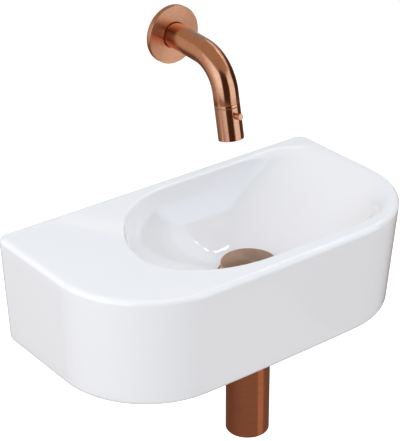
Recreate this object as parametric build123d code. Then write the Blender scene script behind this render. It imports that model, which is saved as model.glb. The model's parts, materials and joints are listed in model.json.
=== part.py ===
from build123d import *
import math
import os

# Lengths are in millimetres and angles in degrees. The origin lies on the wall,
# midway between the two wall studs; +X runs right along the wall, +Y into it, +Z up.

# Ceramic body
basin_width = 400
basin_depth = 220
basin_height = 120
rim_above_studs = 78
side_draft = 5.5
front_draft = 9
corner_radius = 103
corner_draft = 3
front_bow_radius = 4800
back_corner_radius = 12
back_grind = 0.3
least_corner_radius = 1
rim_edge_radius = 5.5
foot_edge_radius = 7
skin = 10
deck_fall_angle = 2.6
ledge_depth = 21
ledge_start = 69
ledge_tip_x = 76
ledge_tip_y = 69
ledge_ramp_angle = 16

# Bowl
bowl_depth = 71
deck_width = 92
right_rim_width = 14
back_rim_width = 15
front_rim_width = 21
bowl_back_left_curve = 112
bowl_front_left_curve = 100
bowl_back_right_curve = 60
bowl_front_right_curve = 90
bowl_widest_at = 125
bowl_levels = (0, 0.13, 0.3, 0.48, 0.66, 0.82, 0.93, 1)
wall_steepness = 2.2
wall_rounding = 0.8
beach_rounding = 0.9
floor_straight = 2
bowl_edge_radius = 0.8

# Waste outlet in the ceramic
waste_x = 33
waste_y = -112
waste_hole_radius = 23
waste_floor_radius = 36
waste_recess_depth = 4
waste_recess_gap = 0.5
waste_boss_radius = 34
waste_wall = 8

# Wall fixings
stud_spacing = 280
stud_radius = 5
stud_in_wall = 60
stud_thread_radius = 4
stud_reach = 34
bush_gap = 0.3
bush_wall = 2
bush_flange_radius = 11
bush_flange_thickness = 2.5
washer_radius = 12
washer_thickness = 2
nut_across_flats = 13
nut_thickness = 6.5
chamfer_size = 1

# Waste fitting
waste_thread_radius = 20.95
waste_bore_radius = 18
waste_seat_radius = 24.5
waste_seat_depth = 6
waste_flange_radius = 32
waste_flange_thickness = 2.5
waste_flange_edge = 1
waste_seal_thickness = 1.5
under_seal_thickness = 3
under_seal_radius = 29
back_nut_height = 7
back_nut_across_flats = 52
bridge_depth = 16
bridge_height = 5
bridge_width = 4
thread_gap = 0.1

# Plug
plug_radius = 29.5
plug_edge = 3.6
plug_crown = 2.6
plug_edge_radius = 0.8
plug_travel = 7
plug_closed_gap = 0.5
plug_spigot_radius = 14
plug_seal_radius = 20.5
plug_seal_thickness = 2.5
plug_stem_radius = 3.2
plug_stem_overlap = 6
running_gap = 0.05
cartridge_radius = 7
cartridge_collar_radius = 9
cartridge_collar_height = 3
cartridge_floor = 2
spring_wire_radius = 0.35
spring_coil_radius = 2.4
spring_turns = 6
spring_length = 16

# Pipes of the bottle trap
pipe_radius = 16
pipe_wall = 1.2
pipe_gap = 0.2
pipe_seal_thickness = 2
dip_flange_thickness = 2
nut_lip = 2
inlet_nut_radius = 24.5
inlet_nut_height = 19
inlet_nut_drop = 1.5
slip_nut_radius = 23
slip_nut_height = 13
slip_nut_drop = 1.5
slip_seal_thickness = 3

# Bottle of the trap
trap_radius = 23.75
trap_wall = 1.6
trap_floor = 2
trap_edge_radius = 1.2
trap_top_wall = 2.5
trap_head_height = 44
trap_neck_radius = 19.5
trap_foot_below_basin = 145
cup_collar_height = 7
cup_collar_gap = 0.3
cup_gap = 0.3
gasket_thickness = 1.5
gasket_inset = 0.3
dip_tube_above_foot = 38

# Outlet of the trap
outlet_boss_length = 14
outlet_boss_radius = 19
outlet_socket_depth = 10
outlet_nut_radius = 21.5
outlet_nut_cover = 11
outlet_in_wall = 35
outlet_mark_width = 1
outlet_mark_depth = 0.3
wall_plate_radius = 28
wall_plate_depth = 7
wall_plate_lip = 3
wall_plate_shell = 1.2

# Wall spout
spout_x = 19.4
spout_above_rim = 160.7
spout_radius = 13
spout_wall = 1.5
spout_level_run = 12
spout_droop = 4.6
droop_radius = 150
spout_falling_run = 28
spout_bend_radius = 41.3
spout_turn = 73.9
spout_end_run = 47.8
rose_radius = 30.5
rose_thickness = 6
rose_shell = 2
rose_edge_radius = 0.8
rose_gap = 0.3
rose_seal_width = 2.5
rose_seal_thickness = 1.8
nipple_radius = 10.48
nipple_bore_radius = 7.5
nipple_in_wall = 20
nipple_in_spout = 14
nipple_relief = 0.4
wall_seal_thickness = 1.5
wall_seal_radius = 14

# Turning handle at the end of the spout
handle_length = 33.2
handle_gap = 0.3
handle_web_height = 2.5
handle_web_bore = 6
handle_edge_radius = 0.6
slip_ring_length = 3
valve_stem_radius = 9.4
valve_bore_radius = 5
valve_plug_length = 10
disc_radius = 8.4
disc_thickness = 3
disc_port_radius = 2.2
disc_port_offset = 4.5
retainer_above_tip = 29
retainer_width = 1.2
retainer_depth = 0.7
retainer_gap = 0.1
retainer_split = 1.5
aerator_radius = 10.9
aerator_wall = 1.6
aerator_height = 8.6
aerator_recess = 0.4
aerator_floor = 2
aerator_hole_radius = 0.9
aerator_hole_pitch = 3
aerator_ring_count = 2
holes_per_ring = 6
aerator_seal_thickness = 1.5
aerator_seal_radius = 8
lever_above_tip = 25
lever_radius = 3.3
lever_length = 7
lever_seat_depth = 0.4
lever_shank_radius = 1.6
lever_shank_length = 2.4
lever_edge_radius = 0.8

# Heights that follow from the sizes above, from the rim down
overcut = 5
rim_z = rim_above_studs
foot_z = rim_z - basin_height
floor_z = rim_z - bowl_depth
recess_z = floor_z - waste_recess_depth
boss_z = recess_z - waste_wall
flange_top_z = recess_z + waste_seal_thickness + waste_flange_thickness
plug_base_z = flange_top_z + plug_closed_gap + plug_travel
plug_seal_z = plug_base_z - plug_seal_thickness
bridge_z = flange_top_z - bridge_depth
cartridge_top_z = bridge_z + cartridge_collar_height
stem_end_z = cartridge_top_z - plug_stem_overlap
spring_foot_z = stem_end_z - spring_length
cartridge_foot_z = spring_foot_z - cartridge_floor
back_nut_z = boss_z - under_seal_thickness - back_nut_height
inlet_nut_top_z = back_nut_z - inlet_nut_drop
inlet_nut_z = inlet_nut_top_z - inlet_nut_height
dip_flange_z = inlet_nut_z + nut_lip
tail_z = dip_flange_z + dip_flange_thickness + pipe_seal_thickness
slip_nut_top_z = inlet_nut_z - slip_nut_drop
head_top_z = slip_nut_top_z - slip_nut_height
neck_top_z = slip_nut_top_z - nut_lip - slip_seal_thickness
head_foot_z = head_top_z - trap_head_height
outlet_z = (head_top_z + head_foot_z) / 2
boss_end_y = waste_y + trap_radius + outlet_boss_length
cup_top_z = head_foot_z - cup_gap - gasket_thickness
trap_foot_z = foot_z - trap_foot_below_basin
spout_z = rim_z + spout_above_rim

# Heights above the tip of the spout, along its last run
disc_foot = aerator_recess + aerator_height + aerator_seal_thickness + handle_web_height
fixed_disc_foot = disc_foot + disc_thickness + handle_gap
valve_foot = fixed_disc_foot + disc_thickness
slip_ring_foot = handle_length + handle_gap
spout_end = slip_ring_foot + slip_ring_length


def rod(place, radius, length):
    """Round bar that starts at a plane and grows along its normal."""
    return place * Cylinder(radius, length, align=(Align.CENTER, Align.CENTER, Align.MIN))


def pipe(place, outer, inner, length):
    """Round bar with a bore right through it."""
    return rod(place, outer, length) - rod(place, inner, length)


def turned(place, outline):
    """Solid of revolution about a plane's normal, from (radius, height) points."""
    profile = make_face(Polyline(*[(r, 0, h) for r, h in outline], close=True))
    return place * revolve(profile, Axis.Z)


def level(z, x=0, y=0):
    """Horizontal plane at a height, centred on a point."""
    return Plane((x, y, z))


def hex_nut(place, across_flats, bore, height):
    """Hexagon nut with a plain bore."""
    blank = extrude(RegularPolygon(across_flats / 2, 6, major_radius=False), height)
    return place * blank - rod(place, bore, height)


def on_arc(centre, radius, angle):
    """Point at an angle on a circle about a centre."""
    turn = math.radians(angle)
    return centre[0] + radius * math.cos(turn), centre[1] + radius * math.sin(turn)


def body_plan(z, inset, back):
    """D-shaped plan of the body at a height, set in from the outside, with its back at y = back."""
    fall = (rim_z - z) / basin_height
    half = basin_width / 2 - side_draft * fall - inset
    front = basin_depth - front_draft * fall - inset
    corner = corner_radius - corner_draft * fall - inset
    bow = front_bow_radius - inset
    rear = max(back_corner_radius - inset, least_corner_radius)
    bow_y = bow - front
    corner_x = half - corner
    corner_y = bow_y - math.sqrt((bow - corner) ** 2 - corner_x**2)
    turn = math.degrees(math.atan2(corner_y - bow_y, corner_x))
    centre = (corner_x, corner_y)
    side = (half, corner_y)
    mid = on_arc(centre, corner, turn / 2)
    joint = on_arc(centre, corner, turn)
    rear_mid = on_arc((half - rear, back - rear), rear, 45)

    def mirrored(point):
        return -point[0], point[1]

    rear_side = (half, back - rear)
    rear_end = (half - rear, back)
    edges = [
        Line(rear_side, side),
        ThreePointArc(side, mid, joint),
        ThreePointArc(joint, (0, -front), mirrored(joint)),
        ThreePointArc(mirrored(joint), mirrored(mid), mirrored(side)),
        Line(mirrored(side), mirrored(rear_side)),
        ThreePointArc(mirrored(rear_side), mirrored(rear_mid), mirrored(rear_end)),
        Line(mirrored(rear_end), rear_end),
        ThreePointArc(rear_end, rear_mid, rear_side),
    ]
    return level(z) * make_face(edges)


def bowl_plan(depth, shell=0):
    """Plan of the bowl at a share of its depth; the shell grows it all round."""
    steep = (1 - depth**wall_steepness) ** wall_rounding
    beach = (1 - depth) ** beach_rounding
    floor = waste_floor_radius

    def reach(top, share):
        return floor + (top - floor) * share + shell

    left = waste_x - reach(waste_x + basin_width / 2 - deck_width, steep)
    right = waste_x + reach(basin_width / 2 - right_rim_width - waste_x, beach)
    back = waste_y + reach(-back_rim_width - waste_y, steep)
    front = waste_y - reach(basin_depth - front_rim_width + waste_y, steep)
    widest = waste_y - (bowl_widest_at + waste_y) * steep

    def curve(top, share):
        return floor - floor_straight + (top - floor + floor_straight) * share + shell

    def quarter(x, y, across, along, start):
        return EllipticalCenterArc((x, y), across, along, start, arc_size=90)

    back_left = curve(bowl_back_left_curve, steep)
    front_left = curve(bowl_front_left_curve, steep)
    back_right = curve(bowl_back_right_curve, beach)
    front_right = curve(bowl_front_right_curve, beach)
    edges = [
        quarter(right - back_right, back - back_right, back_right, back_right, 0),
        Line((right - back_right, back), (left + back_left, back)),
        quarter(left + back_left, widest, back_left, back - widest, 90),
        quarter(left + front_left, widest, front_left, widest - front, 180),
        Line((left + front_left, front), (right - front_right, front)),
        quarter(right - front_right, front + front_right, front_right, front_right, 270),
        Line((right, front + front_right), (right, back - back_right)),
    ]
    return make_face(edges)


def bowl_form(shell=0, drop=0):
    """Solid that fills the bowl, grown by the shell and let down by a drop."""
    sections = [level(rim_z - drop - bowl_depth * d) * bowl_plan(d, shell) for d in bowl_levels]
    lid = extrude(sections[0], overcut + drop)
    return loft(sections) + lid


def deck_hollow():
    """Solid above the deck, which falls inwards from the outer lip to the bowl."""
    lip = corner_radius - rim_edge_radius
    corner_x = basin_width / 2 - corner_radius
    corner_y = corner_radius - basin_depth
    fall = lip * math.tan(math.radians(deck_fall_angle))
    outline = [(0, 0, -fall), (lip, 0, 0), (lip, 0, overcut), (0, 0, overcut)]
    profile = make_face(Polyline(*outline, close=True))
    side = extrude(profile, overcut - corner_y, dir=(0, 1, 0))
    front = extrude(profile, 2 * corner_x, dir=(0, 1, 0)).rotate(Axis.Z, -90)
    corner = revolve(profile, Axis.Z, 90).rotate(Axis.Z, -90)
    half = Pos(corner_x, corner_y, rim_z) * (side + corner)
    low = Align.MIN
    middle = Box(2 * corner_x, overcut - corner_y, fall + overcut, align=(Align.CENTER, low, low))
    middle = Pos(0, corner_y, rim_z - fall) * middle
    front = Pos(-corner_x, corner_y, rim_z) * front
    return half + mirror(half, Plane.YZ) + front + middle - ledge()


def ledge():
    """Flat ledge along the wall, with a wing that ramps down to the deck."""
    half = basin_width / 2 + overcut
    wing = -basin_width / 2 + ledge_start
    tip = (-ledge_tip_x, -ledge_tip_y)
    outline = [(wing, overcut), tip, (half, -ledge_depth), (half, overcut)]
    top = make_face(Polyline(*outline, close=True))
    spread = overcut / math.tan(math.radians(ledge_ramp_angle))
    foot = offset(top, spread, kind=Kind.INTERSECTION)
    ramp = loft([level(rim_z - overcut) * foot, level(rim_z) * top], ruled=True)
    return ramp + level(rim_z) * extrude(top, overcut)


def over_waste(z):
    """Horizontal plane at a height, centred on the waste."""
    return level(z, waste_x, waste_y)


def basin():
    """Ceramic body: D-shaped skirt, deck and bowl, hollow underneath, ground flat at the back."""
    body = loft([body_plan(z, 0, back_grind) for z in (foot_z, rim_z)], ruled=True)
    body = fillet(body.edges().group_by(Axis.Z)[-1], rim_edge_radius)
    body = fillet(body.edges().group_by(Axis.Z)[0], foot_edge_radius)
    body = split(body, Plane.XZ) - deck_hollow()
    bowl = bowl_form()
    body = fillet(new_edges(body, bowl, combined=body - bowl), bowl_edge_radius)
    levels = (foot_z - overcut, rim_z - skin - overcut)
    hollow = loft([body_plan(z, skin, -skin) for z in levels], ruled=True)
    hollow -= bowl_form(skin, skin)
    body -= hollow - rod(over_waste(boss_z), waste_boss_radius, floor_z - boss_z)
    body -= rod(over_waste(recess_z), waste_flange_radius + waste_recess_gap, floor_z - recess_z + overcut)
    body -= rod(over_waste(boss_z - overcut), waste_hole_radius, bowl_depth)
    for place in stud_places(overcut):
        body -= rod(place, stud_thread_radius + 2 * bush_gap + bush_wall, skin + 2 * overcut)
    return body


def stud_places(into_wall):
    """Planes at the two studs, a distance into the wall, facing out into the room."""
    return [Plane((x, into_wall, 0), z_dir=(0, -1, 0)) for x in (-stud_spacing / 2, stud_spacing / 2)]


def hanger_bolts():
    """Two bolts that screw into plugs in the wall and carry the basin on their thinner threads."""
    bolts = []
    for place in stud_places(stud_in_wall):
        thread = rod(place.offset(stud_in_wall), stud_thread_radius, stud_reach)
        bolt = rod(place, stud_radius, stud_in_wall) + thread
        rounds = bolt.edges().filter_by(GeomType.CIRCLE).group_by(Axis.Y)
        bolts.append(chamfer(rounds[0] + rounds[-1], chamfer_size))
    return bolts


def fixing_bushes():
    """Flanged plastic bushes that centre the studs in the ceramic."""
    bore = stud_thread_radius + bush_gap
    outer = bore + bush_wall
    length = skin + bush_flange_thickness
    outline = [(bore, 0), (outer, 0), (outer, skin), (bush_flange_radius, skin)]
    outline += [(bush_flange_radius, length), (bore, length)]
    return [turned(place, outline) for place in stud_places(0)]


def fixing_washers():
    """Plain washers under the wall nuts."""
    start = skin + bush_flange_thickness
    bore = stud_thread_radius + bush_gap
    return [pipe(place, washer_radius, bore, washer_thickness) for place in stud_places(-start)]


def fixing_nuts():
    """Nuts that pull the basin to the wall."""
    start = skin + bush_flange_thickness + washer_thickness
    bore = stud_thread_radius + thread_gap
    return [hex_nut(place, nut_across_flats, bore, nut_thickness) for place in stud_places(-start)]


def waste_body():
    """Flanged and threaded outlet with a bridge that holds the plug's cartridge."""
    rim = waste_flange_radius
    seat_z = flange_top_z - waste_seat_depth
    flange_z = flange_top_z - waste_flange_thickness
    outline = [
        (waste_bore_radius, tail_z),
        (waste_thread_radius, tail_z),
        (waste_thread_radius, flange_z),
        (rim, flange_z),
        (rim, flange_top_z - waste_flange_edge),
        (rim - waste_flange_edge, flange_top_z),
        (waste_seat_radius, flange_top_z),
        (waste_bore_radius, seat_z),
    ]
    body = turned(over_waste(0), outline)
    bridge = over_waste(bridge_z - bridge_height)
    bar = Box(2 * waste_thread_radius - 2 * chamfer_size, bridge_width, bridge_height)
    bar = bridge * Pos(0, 0, bridge_height / 2) * bar
    body += bar + bar.rotate(Axis(over_waste(0).origin, (0, 0, 1)), 90)
    body += rod(bridge, cartridge_radius + thread_gap + waste_flange_thickness, bridge_height)
    return body - rod(bridge, cartridge_radius + thread_gap, bridge_height)


def waste_top_seal():
    """Flat seal between the flange and the bowl."""
    return pipe(over_waste(recess_z), waste_flange_radius, waste_hole_radius, waste_seal_thickness)


def waste_under_seal():
    """Rubber seal under the bowl."""
    place = over_waste(boss_z - under_seal_thickness)
    return pipe(place, under_seal_radius, waste_thread_radius + thread_gap, under_seal_thickness)


def waste_back_nut():
    """Large hexagon nut that clamps the outlet to the bowl."""
    bore = waste_thread_radius + thread_gap
    return hex_nut(over_waste(back_nut_z), back_nut_across_flats, bore, back_nut_height)


def plug_cap():
    """Domed cap that is pressed to close and open the outlet."""
    base = plug_base_z
    edge = base + plug_edge
    crown = edge + plug_crown
    outline = [(0, 0, crown), (0, 0, plug_seal_z), (plug_spigot_radius, 0, plug_seal_z)]
    outline += [(plug_spigot_radius, 0, base), (plug_radius, 0, base), (plug_radius, 0, edge)]
    dome = TangentArc(outline[0], outline[-1], tangent=(1, 0, 0))
    cap = over_waste(0) * revolve(make_face([Polyline(*outline), dome]), Axis.Z)
    rim = cap.edges().sort_by_distance(over_waste(edge).origin + (plug_radius, 0, 0))[0]
    return fillet(rim, plug_edge_radius)


def plug_seal():
    """Rubber ring under the cap."""
    return pipe(over_waste(plug_seal_z), plug_seal_radius, plug_spigot_radius, plug_seal_thickness)


def plug_stem():
    """Stem that slides in the cartridge."""
    return rod(over_waste(stem_end_z), plug_stem_radius, plug_seal_z - stem_end_z)


def plug_cartridge():
    """Housing of the push mechanism, screwed into the bridge."""
    bore = plug_stem_radius + running_gap
    outline = [
        (0, cartridge_foot_z),
        (cartridge_radius, cartridge_foot_z),
        (cartridge_radius, bridge_z),
        (cartridge_collar_radius, bridge_z),
        (cartridge_collar_radius, cartridge_top_z),
        (bore, cartridge_top_z),
        (bore, spring_foot_z),
        (0, spring_foot_z),
    ]
    return turned(over_waste(0), outline)


def plug_spring():
    """Spring that raises the plug."""
    rise = spring_length - 2 * spring_wire_radius
    foot = over_waste(spring_foot_z + spring_wire_radius)
    coil = foot * Helix(rise / spring_turns, rise, spring_coil_radius)
    wire = Plane(coil @ 0, z_dir=coil % 0) * Circle(spring_wire_radius)
    return sweep(wire, path=coil, is_frenet=True)


def trap_inlet_nut():
    """Nut that joins the trap's inlet pipe to the waste outlet."""
    bore = waste_thread_radius + thread_gap
    lip = pipe_radius + pipe_gap
    outline = [(lip, inlet_nut_z), (inlet_nut_radius - chamfer_size, inlet_nut_z)]
    outline += [(inlet_nut_radius, inlet_nut_z + chamfer_size), (inlet_nut_radius, inlet_nut_top_z)]
    outline += [(bore, inlet_nut_top_z), (bore, dip_flange_z), (lip, dip_flange_z)]
    return turned(over_waste(0), outline)


def trap_inlet_seal():
    """Flat seal under the end of the waste outlet."""
    place = over_waste(tail_z - pipe_seal_thickness)
    return pipe(place, waste_thread_radius, pipe_radius, pipe_seal_thickness)


def trap_dip_tube():
    """Inlet pipe that reaches down into the water of the bottle."""
    inner = pipe_radius - pipe_wall
    end = trap_foot_z + dip_tube_above_foot
    flange = dip_flange_z + dip_flange_thickness
    outline = [(inner, end), (pipe_radius, end), (pipe_radius, dip_flange_z)]
    outline += [(waste_thread_radius, dip_flange_z), (waste_thread_radius, flange), (inner, flange)]
    return turned(over_waste(0), outline)


def trap_slip_nut():
    """Nut that clamps the bottle's head to the inlet pipe."""
    lip = pipe_radius + pipe_gap
    bore = trap_neck_radius + thread_gap
    lip_z = slip_nut_top_z - nut_lip
    outline = [(bore, head_top_z), (slip_nut_radius, head_top_z)]
    outline += [(slip_nut_radius, slip_nut_top_z - chamfer_size)]
    outline += [(slip_nut_radius - chamfer_size, slip_nut_top_z), (lip, slip_nut_top_z)]
    outline += [(lip, lip_z), (bore, lip_z)]
    return turned(over_waste(0), outline)


def trap_slip_seal():
    """Rubber ring squeezed round the inlet pipe."""
    return pipe(over_waste(neck_top_z), trap_neck_radius, pipe_radius, slip_seal_thickness)


def outlet_plane(y):
    """Plane across the outlet at a place, facing the wall."""
    return Plane((waste_x, y, outlet_z), x_dir=(1, 0, 0), z_dir=(0, 1, 0))


def trap_head():
    """Fixed head of the bottle with its neck and the outlet towards the wall."""
    inner = trap_radius - trap_wall
    ceiling = head_top_z - trap_top_wall
    bore = pipe_radius + pipe_gap
    outline = [(inner, head_foot_z), (trap_radius, head_foot_z), (trap_radius, head_top_z)]
    outline += [(trap_neck_radius, head_top_z), (trap_neck_radius, neck_top_z), (bore, neck_top_z)]
    outline += [(bore, ceiling), (inner, ceiling)]
    space = rod(over_waste(head_foot_z), inner, ceiling - head_foot_z)
    boss = rod(outlet_plane(waste_y), outlet_boss_radius, boss_end_y - waste_y) - space
    body = turned(over_waste(0), outline) + boss
    body -= rod(outlet_plane(waste_y), pipe_radius - pipe_wall, boss_end_y - waste_y)
    return body - rod(outlet_plane(boss_end_y - outlet_socket_depth), bore, outlet_socket_depth)


def trap_cup():
    """Plain bottle that is unscrewed to clean the trap."""
    inner = trap_radius - trap_wall
    collar = inner - cup_collar_gap
    collar_top = cup_top_z + cup_collar_height + gasket_thickness
    outline = [
        (0, trap_foot_z),
        (trap_radius, trap_foot_z),
        (trap_radius, cup_top_z),
        (collar, cup_top_z),
        (collar, collar_top),
        (collar - trap_wall, collar_top),
        (collar - trap_wall, cup_top_z - trap_floor),
        (inner, cup_top_z - trap_floor - trap_wall),
        (inner, trap_foot_z + trap_floor),
        (0, trap_foot_z + trap_floor),
    ]
    cup = turned(over_waste(0), outline)
    return fillet(cup.edges().filter_by(GeomType.CIRCLE).group_by(Axis.Z)[0], trap_edge_radius)


def trap_cup_gasket():
    """Gasket on the shoulder of the cup."""
    collar = trap_radius - trap_wall - cup_collar_gap
    return pipe(over_waste(cup_top_z), trap_radius - gasket_inset, collar, gasket_thickness)


def trap_outlet_nut():
    """Nut that clamps the outlet pipe in the head."""
    bore = outlet_boss_radius + thread_gap
    lip = pipe_radius + pipe_gap
    cover = outlet_nut_cover
    end = cover + pipe_seal_thickness + nut_lip
    outline = [(bore, 0), (outlet_nut_radius, 0), (outlet_nut_radius, end - chamfer_size)]
    outline += [(outlet_nut_radius - chamfer_size, end), (lip, end)]
    outline += [(lip, end - nut_lip), (bore, end - nut_lip)]
    return turned(outlet_plane(boss_end_y - cover), outline)


def trap_outlet_seal():
    """Rubber ring round the outlet pipe."""
    return pipe(outlet_plane(boss_end_y), outlet_boss_radius, pipe_radius, pipe_seal_thickness)


def trap_outlet_pipe():
    """Pipe from the trap into the wall, with a mark turned in it level with the wall."""
    start = boss_end_y - outlet_socket_depth
    tube = pipe(outlet_plane(start), pipe_radius, pipe_radius - pipe_wall, outlet_in_wall - start)
    mark = outlet_plane(-outlet_mark_width)
    return tube - pipe(mark, pipe_radius + overcut, pipe_radius - outlet_mark_depth, outlet_mark_width)


def trap_wall_plate():
    """Thin plate that covers the hole in the wall round the outlet pipe."""
    hole = pipe_radius + pipe_gap
    shell = wall_plate_shell
    top = wall_plate_radius - wall_plate_lip
    outline = [(wall_plate_radius - shell, 0), (wall_plate_radius, 0), (wall_plate_radius, shell)]
    outline += [(top, wall_plate_depth), (hole, wall_plate_depth), (hole, wall_plate_depth - shell)]
    outline += [(top - shell, wall_plate_depth - shell), (wall_plate_radius - shell, shell)]
    return turned(Plane((waste_x, 0, outlet_z), z_dir=(0, -1, 0)), outline)


def spout_place():
    """Plane on the wall at the spout, facing out into the room."""
    return Plane((spout_x, 0, spout_z), x_dir=(1, 0, 0), z_dir=(0, -1, 0))


def spout_line(end_run):
    """Centre line of the spout: level, then falling, then bent down to its end."""
    start = Line((0, 0), (spout_level_run, 0))
    droop = JernArc(start @ 1, start % 1, droop_radius, -spout_droop)
    falling = PolarLine(droop @ 1, spout_falling_run, direction=droop % 1)
    bend = JernArc(falling @ 1, falling % 1, spout_bend_radius, -spout_turn)
    end = PolarLine(bend @ 1, end_run, direction=bend % 1)
    side = Plane((spout_x, 0, spout_z), x_dir=(0, -1, 0), z_dir=(-1, 0, 0))
    return side * Curve([start, droop, falling, bend, end])


def tip_place(above=0):
    """Plane across the spout's last run, some way above the tip, facing up the run."""
    line = spout_line(spout_end_run).edges()[-1]
    down = line % 1
    return Plane(line @ 1 - down * above, x_dir=Vector(0, down.Z, -down.Y), z_dir=-down)


def tap_spout():
    """Bent tube from the wall to the turning handle."""
    line = Wire(spout_line(spout_end_run - spout_end).edges())
    start = spout_place()
    bore = spout_radius - spout_wall
    tube = sweep(start * Circle(spout_radius), path=line) - sweep(start * Circle(bore), path=line)
    return tube - rod(start, spout_radius + overcut, wall_seal_thickness)


def tap_rose():
    """Round plate that covers the hole in the wall round the spout."""
    hole = spout_radius + rose_gap
    ceiling = rose_thickness - rose_shell
    outline = [(rose_radius - rose_shell, 0), (rose_radius, 0), (rose_radius, rose_thickness)]
    outline += [(hole, rose_thickness), (hole, ceiling), (rose_radius - rose_shell, ceiling)]
    rose = turned(spout_place(), outline)
    rim = rose.edges().filter_by(GeomType.CIRCLE).group_by(Axis.Y)[0].sort_by(SortBy.RADIUS)[-1]
    return fillet(rim, rose_edge_radius)


def tap_rose_seal():
    """Rubber ring that holds the rose on the spout."""
    place = spout_place().offset(rose_thickness - rose_shell - rose_seal_thickness)
    return pipe(place, spout_radius + rose_seal_width, spout_radius, rose_seal_thickness)


def tap_wall_nipple():
    """Threaded nipple that joins the spout to the supply in the wall."""
    joint = nipple_in_wall + wall_seal_thickness
    end = nipple_in_wall + nipple_in_spout
    plug = spout_radius - spout_wall
    neck = nipple_radius - nipple_relief
    outline = [(nipple_bore_radius, 0), (nipple_radius, 0), (nipple_radius, nipple_in_wall)]
    outline += [(neck, nipple_in_wall), (neck, joint), (plug, joint), (plug, end)]
    outline += [(nipple_bore_radius, end)]
    return turned(spout_place().offset(-nipple_in_wall), outline)


def tap_wall_seal():
    """Flat seal between the spout and the wall."""
    return pipe(spout_place(), wall_seal_radius, nipple_radius, wall_seal_thickness)


def ports(place, length):
    """Two water passages through the valve's discs."""
    sides = (-disc_port_offset, disc_port_offset)
    return [place * Pos(0, side, 0) * rod(Plane.XY, disc_port_radius, length) for side in sides]


def tap_valve_cartridge():
    """Valve housing that closes the spout and carries the handle."""
    top = spout_end + valve_plug_length
    groove = valve_stem_radius - retainer_depth - retainer_gap
    low = retainer_above_tip
    high = low + retainer_width + 2 * retainer_gap
    outline = [
        (valve_bore_radius, valve_foot),
        (valve_stem_radius, valve_foot),
        (valve_stem_radius, low),
        (groove, low),
        (groove, high),
        (valve_stem_radius, high),
        (valve_stem_radius, spout_end),
        (spout_radius - spout_wall, spout_end),
        (spout_radius - spout_wall, top),
        (valve_bore_radius, top),
    ]
    return turned(tip_place(), outline)


def tap_fixed_disc():
    """Ceramic disc that stays still under the valve housing."""
    place = tip_place(fixed_disc_foot)
    return rod(place, disc_radius, disc_thickness) - ports(place, disc_thickness)


def tap_turning_disc():
    """Ceramic disc that turns with the handle."""
    place = tip_place(disc_foot)
    return rod(place, disc_radius, disc_thickness) - ports(place, disc_thickness)


def tap_slip_ring():
    """Thin ring between the spout and the handle."""
    place = tip_place(slip_ring_foot)
    return pipe(place, spout_radius, valve_stem_radius + running_gap, slip_ring_length)


def tap_handle_sleeve():
    """Turning end of the spout that opens the water."""
    bore = valve_stem_radius + running_gap
    socket = aerator_radius + thread_gap
    web = disc_foot - handle_web_height
    low = retainer_above_tip
    high = low + retainer_width + 2 * retainer_gap
    groove = bore + retainer_depth + retainer_gap
    outline = [
        (socket, 0),
        (spout_radius, 0),
        (spout_radius, handle_length),
        (bore, handle_length),
        (bore, high),
        (groove, high),
        (groove, low),
        (bore, low),
        (bore, disc_foot),
        (handle_web_bore, disc_foot),
        (handle_web_bore, web),
        (socket, web),
    ]
    sleeve = turned(tip_place(), outline)
    tip = tip_place()
    rim = sleeve.edges().sort_by_distance(tip.origin + tip.x_dir * spout_radius)[0]
    sleeve = fillet(rim, handle_edge_radius)
    shank = lever_place(-lever_seat_depth - lever_shank_length)
    sleeve -= rod(lever_place(-lever_seat_depth), lever_radius + thread_gap, overcut)
    return sleeve - rod(shank, lever_shank_radius + thread_gap, overcut)


def lever_place(out):
    """Plane across the lever, some way out from the handle's surface."""
    tip = tip_place(lever_above_tip)
    return Plane(tip.origin + tip.x_dir * (spout_radius + out), x_dir=tip.z_dir, z_dir=tip.x_dir)


def tap_lever_pin():
    """Short pin that turns the handle."""
    head = rod(lever_place(-lever_seat_depth), lever_radius, lever_length + lever_seat_depth)
    head = fillet(head.edges().filter_by(GeomType.CIRCLE).sort_by(Axis.Y)[0], lever_edge_radius)
    shank = lever_place(-lever_seat_depth - lever_shank_length)
    return head + rod(shank, lever_shank_radius, lever_shank_length)


def tap_retaining_ring():
    """Split ring that keeps the handle on the valve housing."""
    place = tip_place(retainer_above_tip + retainer_gap)
    inner = valve_stem_radius - retainer_depth
    outer = valve_stem_radius + running_gap + retainer_depth
    gap = Box(2 * outer, retainer_split, overcut, align=(Align.MIN, Align.CENTER, Align.CENTER))
    return pipe(place, outer, inner, retainer_width) - place * gap


def tap_aerator():
    """Insert that mixes air into the water, with a perforated floor."""
    place = tip_place(aerator_recess)
    body = rod(place, aerator_radius, aerator_height)
    body -= rod(place.offset(aerator_floor), aerator_radius - aerator_wall, aerator_height)
    for ring in range(aerator_ring_count + 1):
        for hole in PolarLocations(ring * aerator_hole_pitch, max(ring * holes_per_ring, 1)):
            body -= place * hole * rod(Plane.XY, aerator_hole_radius, aerator_floor)
    return body


def tap_aerator_seal():
    """Flat seal above the aerator."""
    place = tip_place(aerator_recess + aerator_height)
    return pipe(place, aerator_radius, aerator_seal_radius, aerator_seal_thickness)


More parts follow.
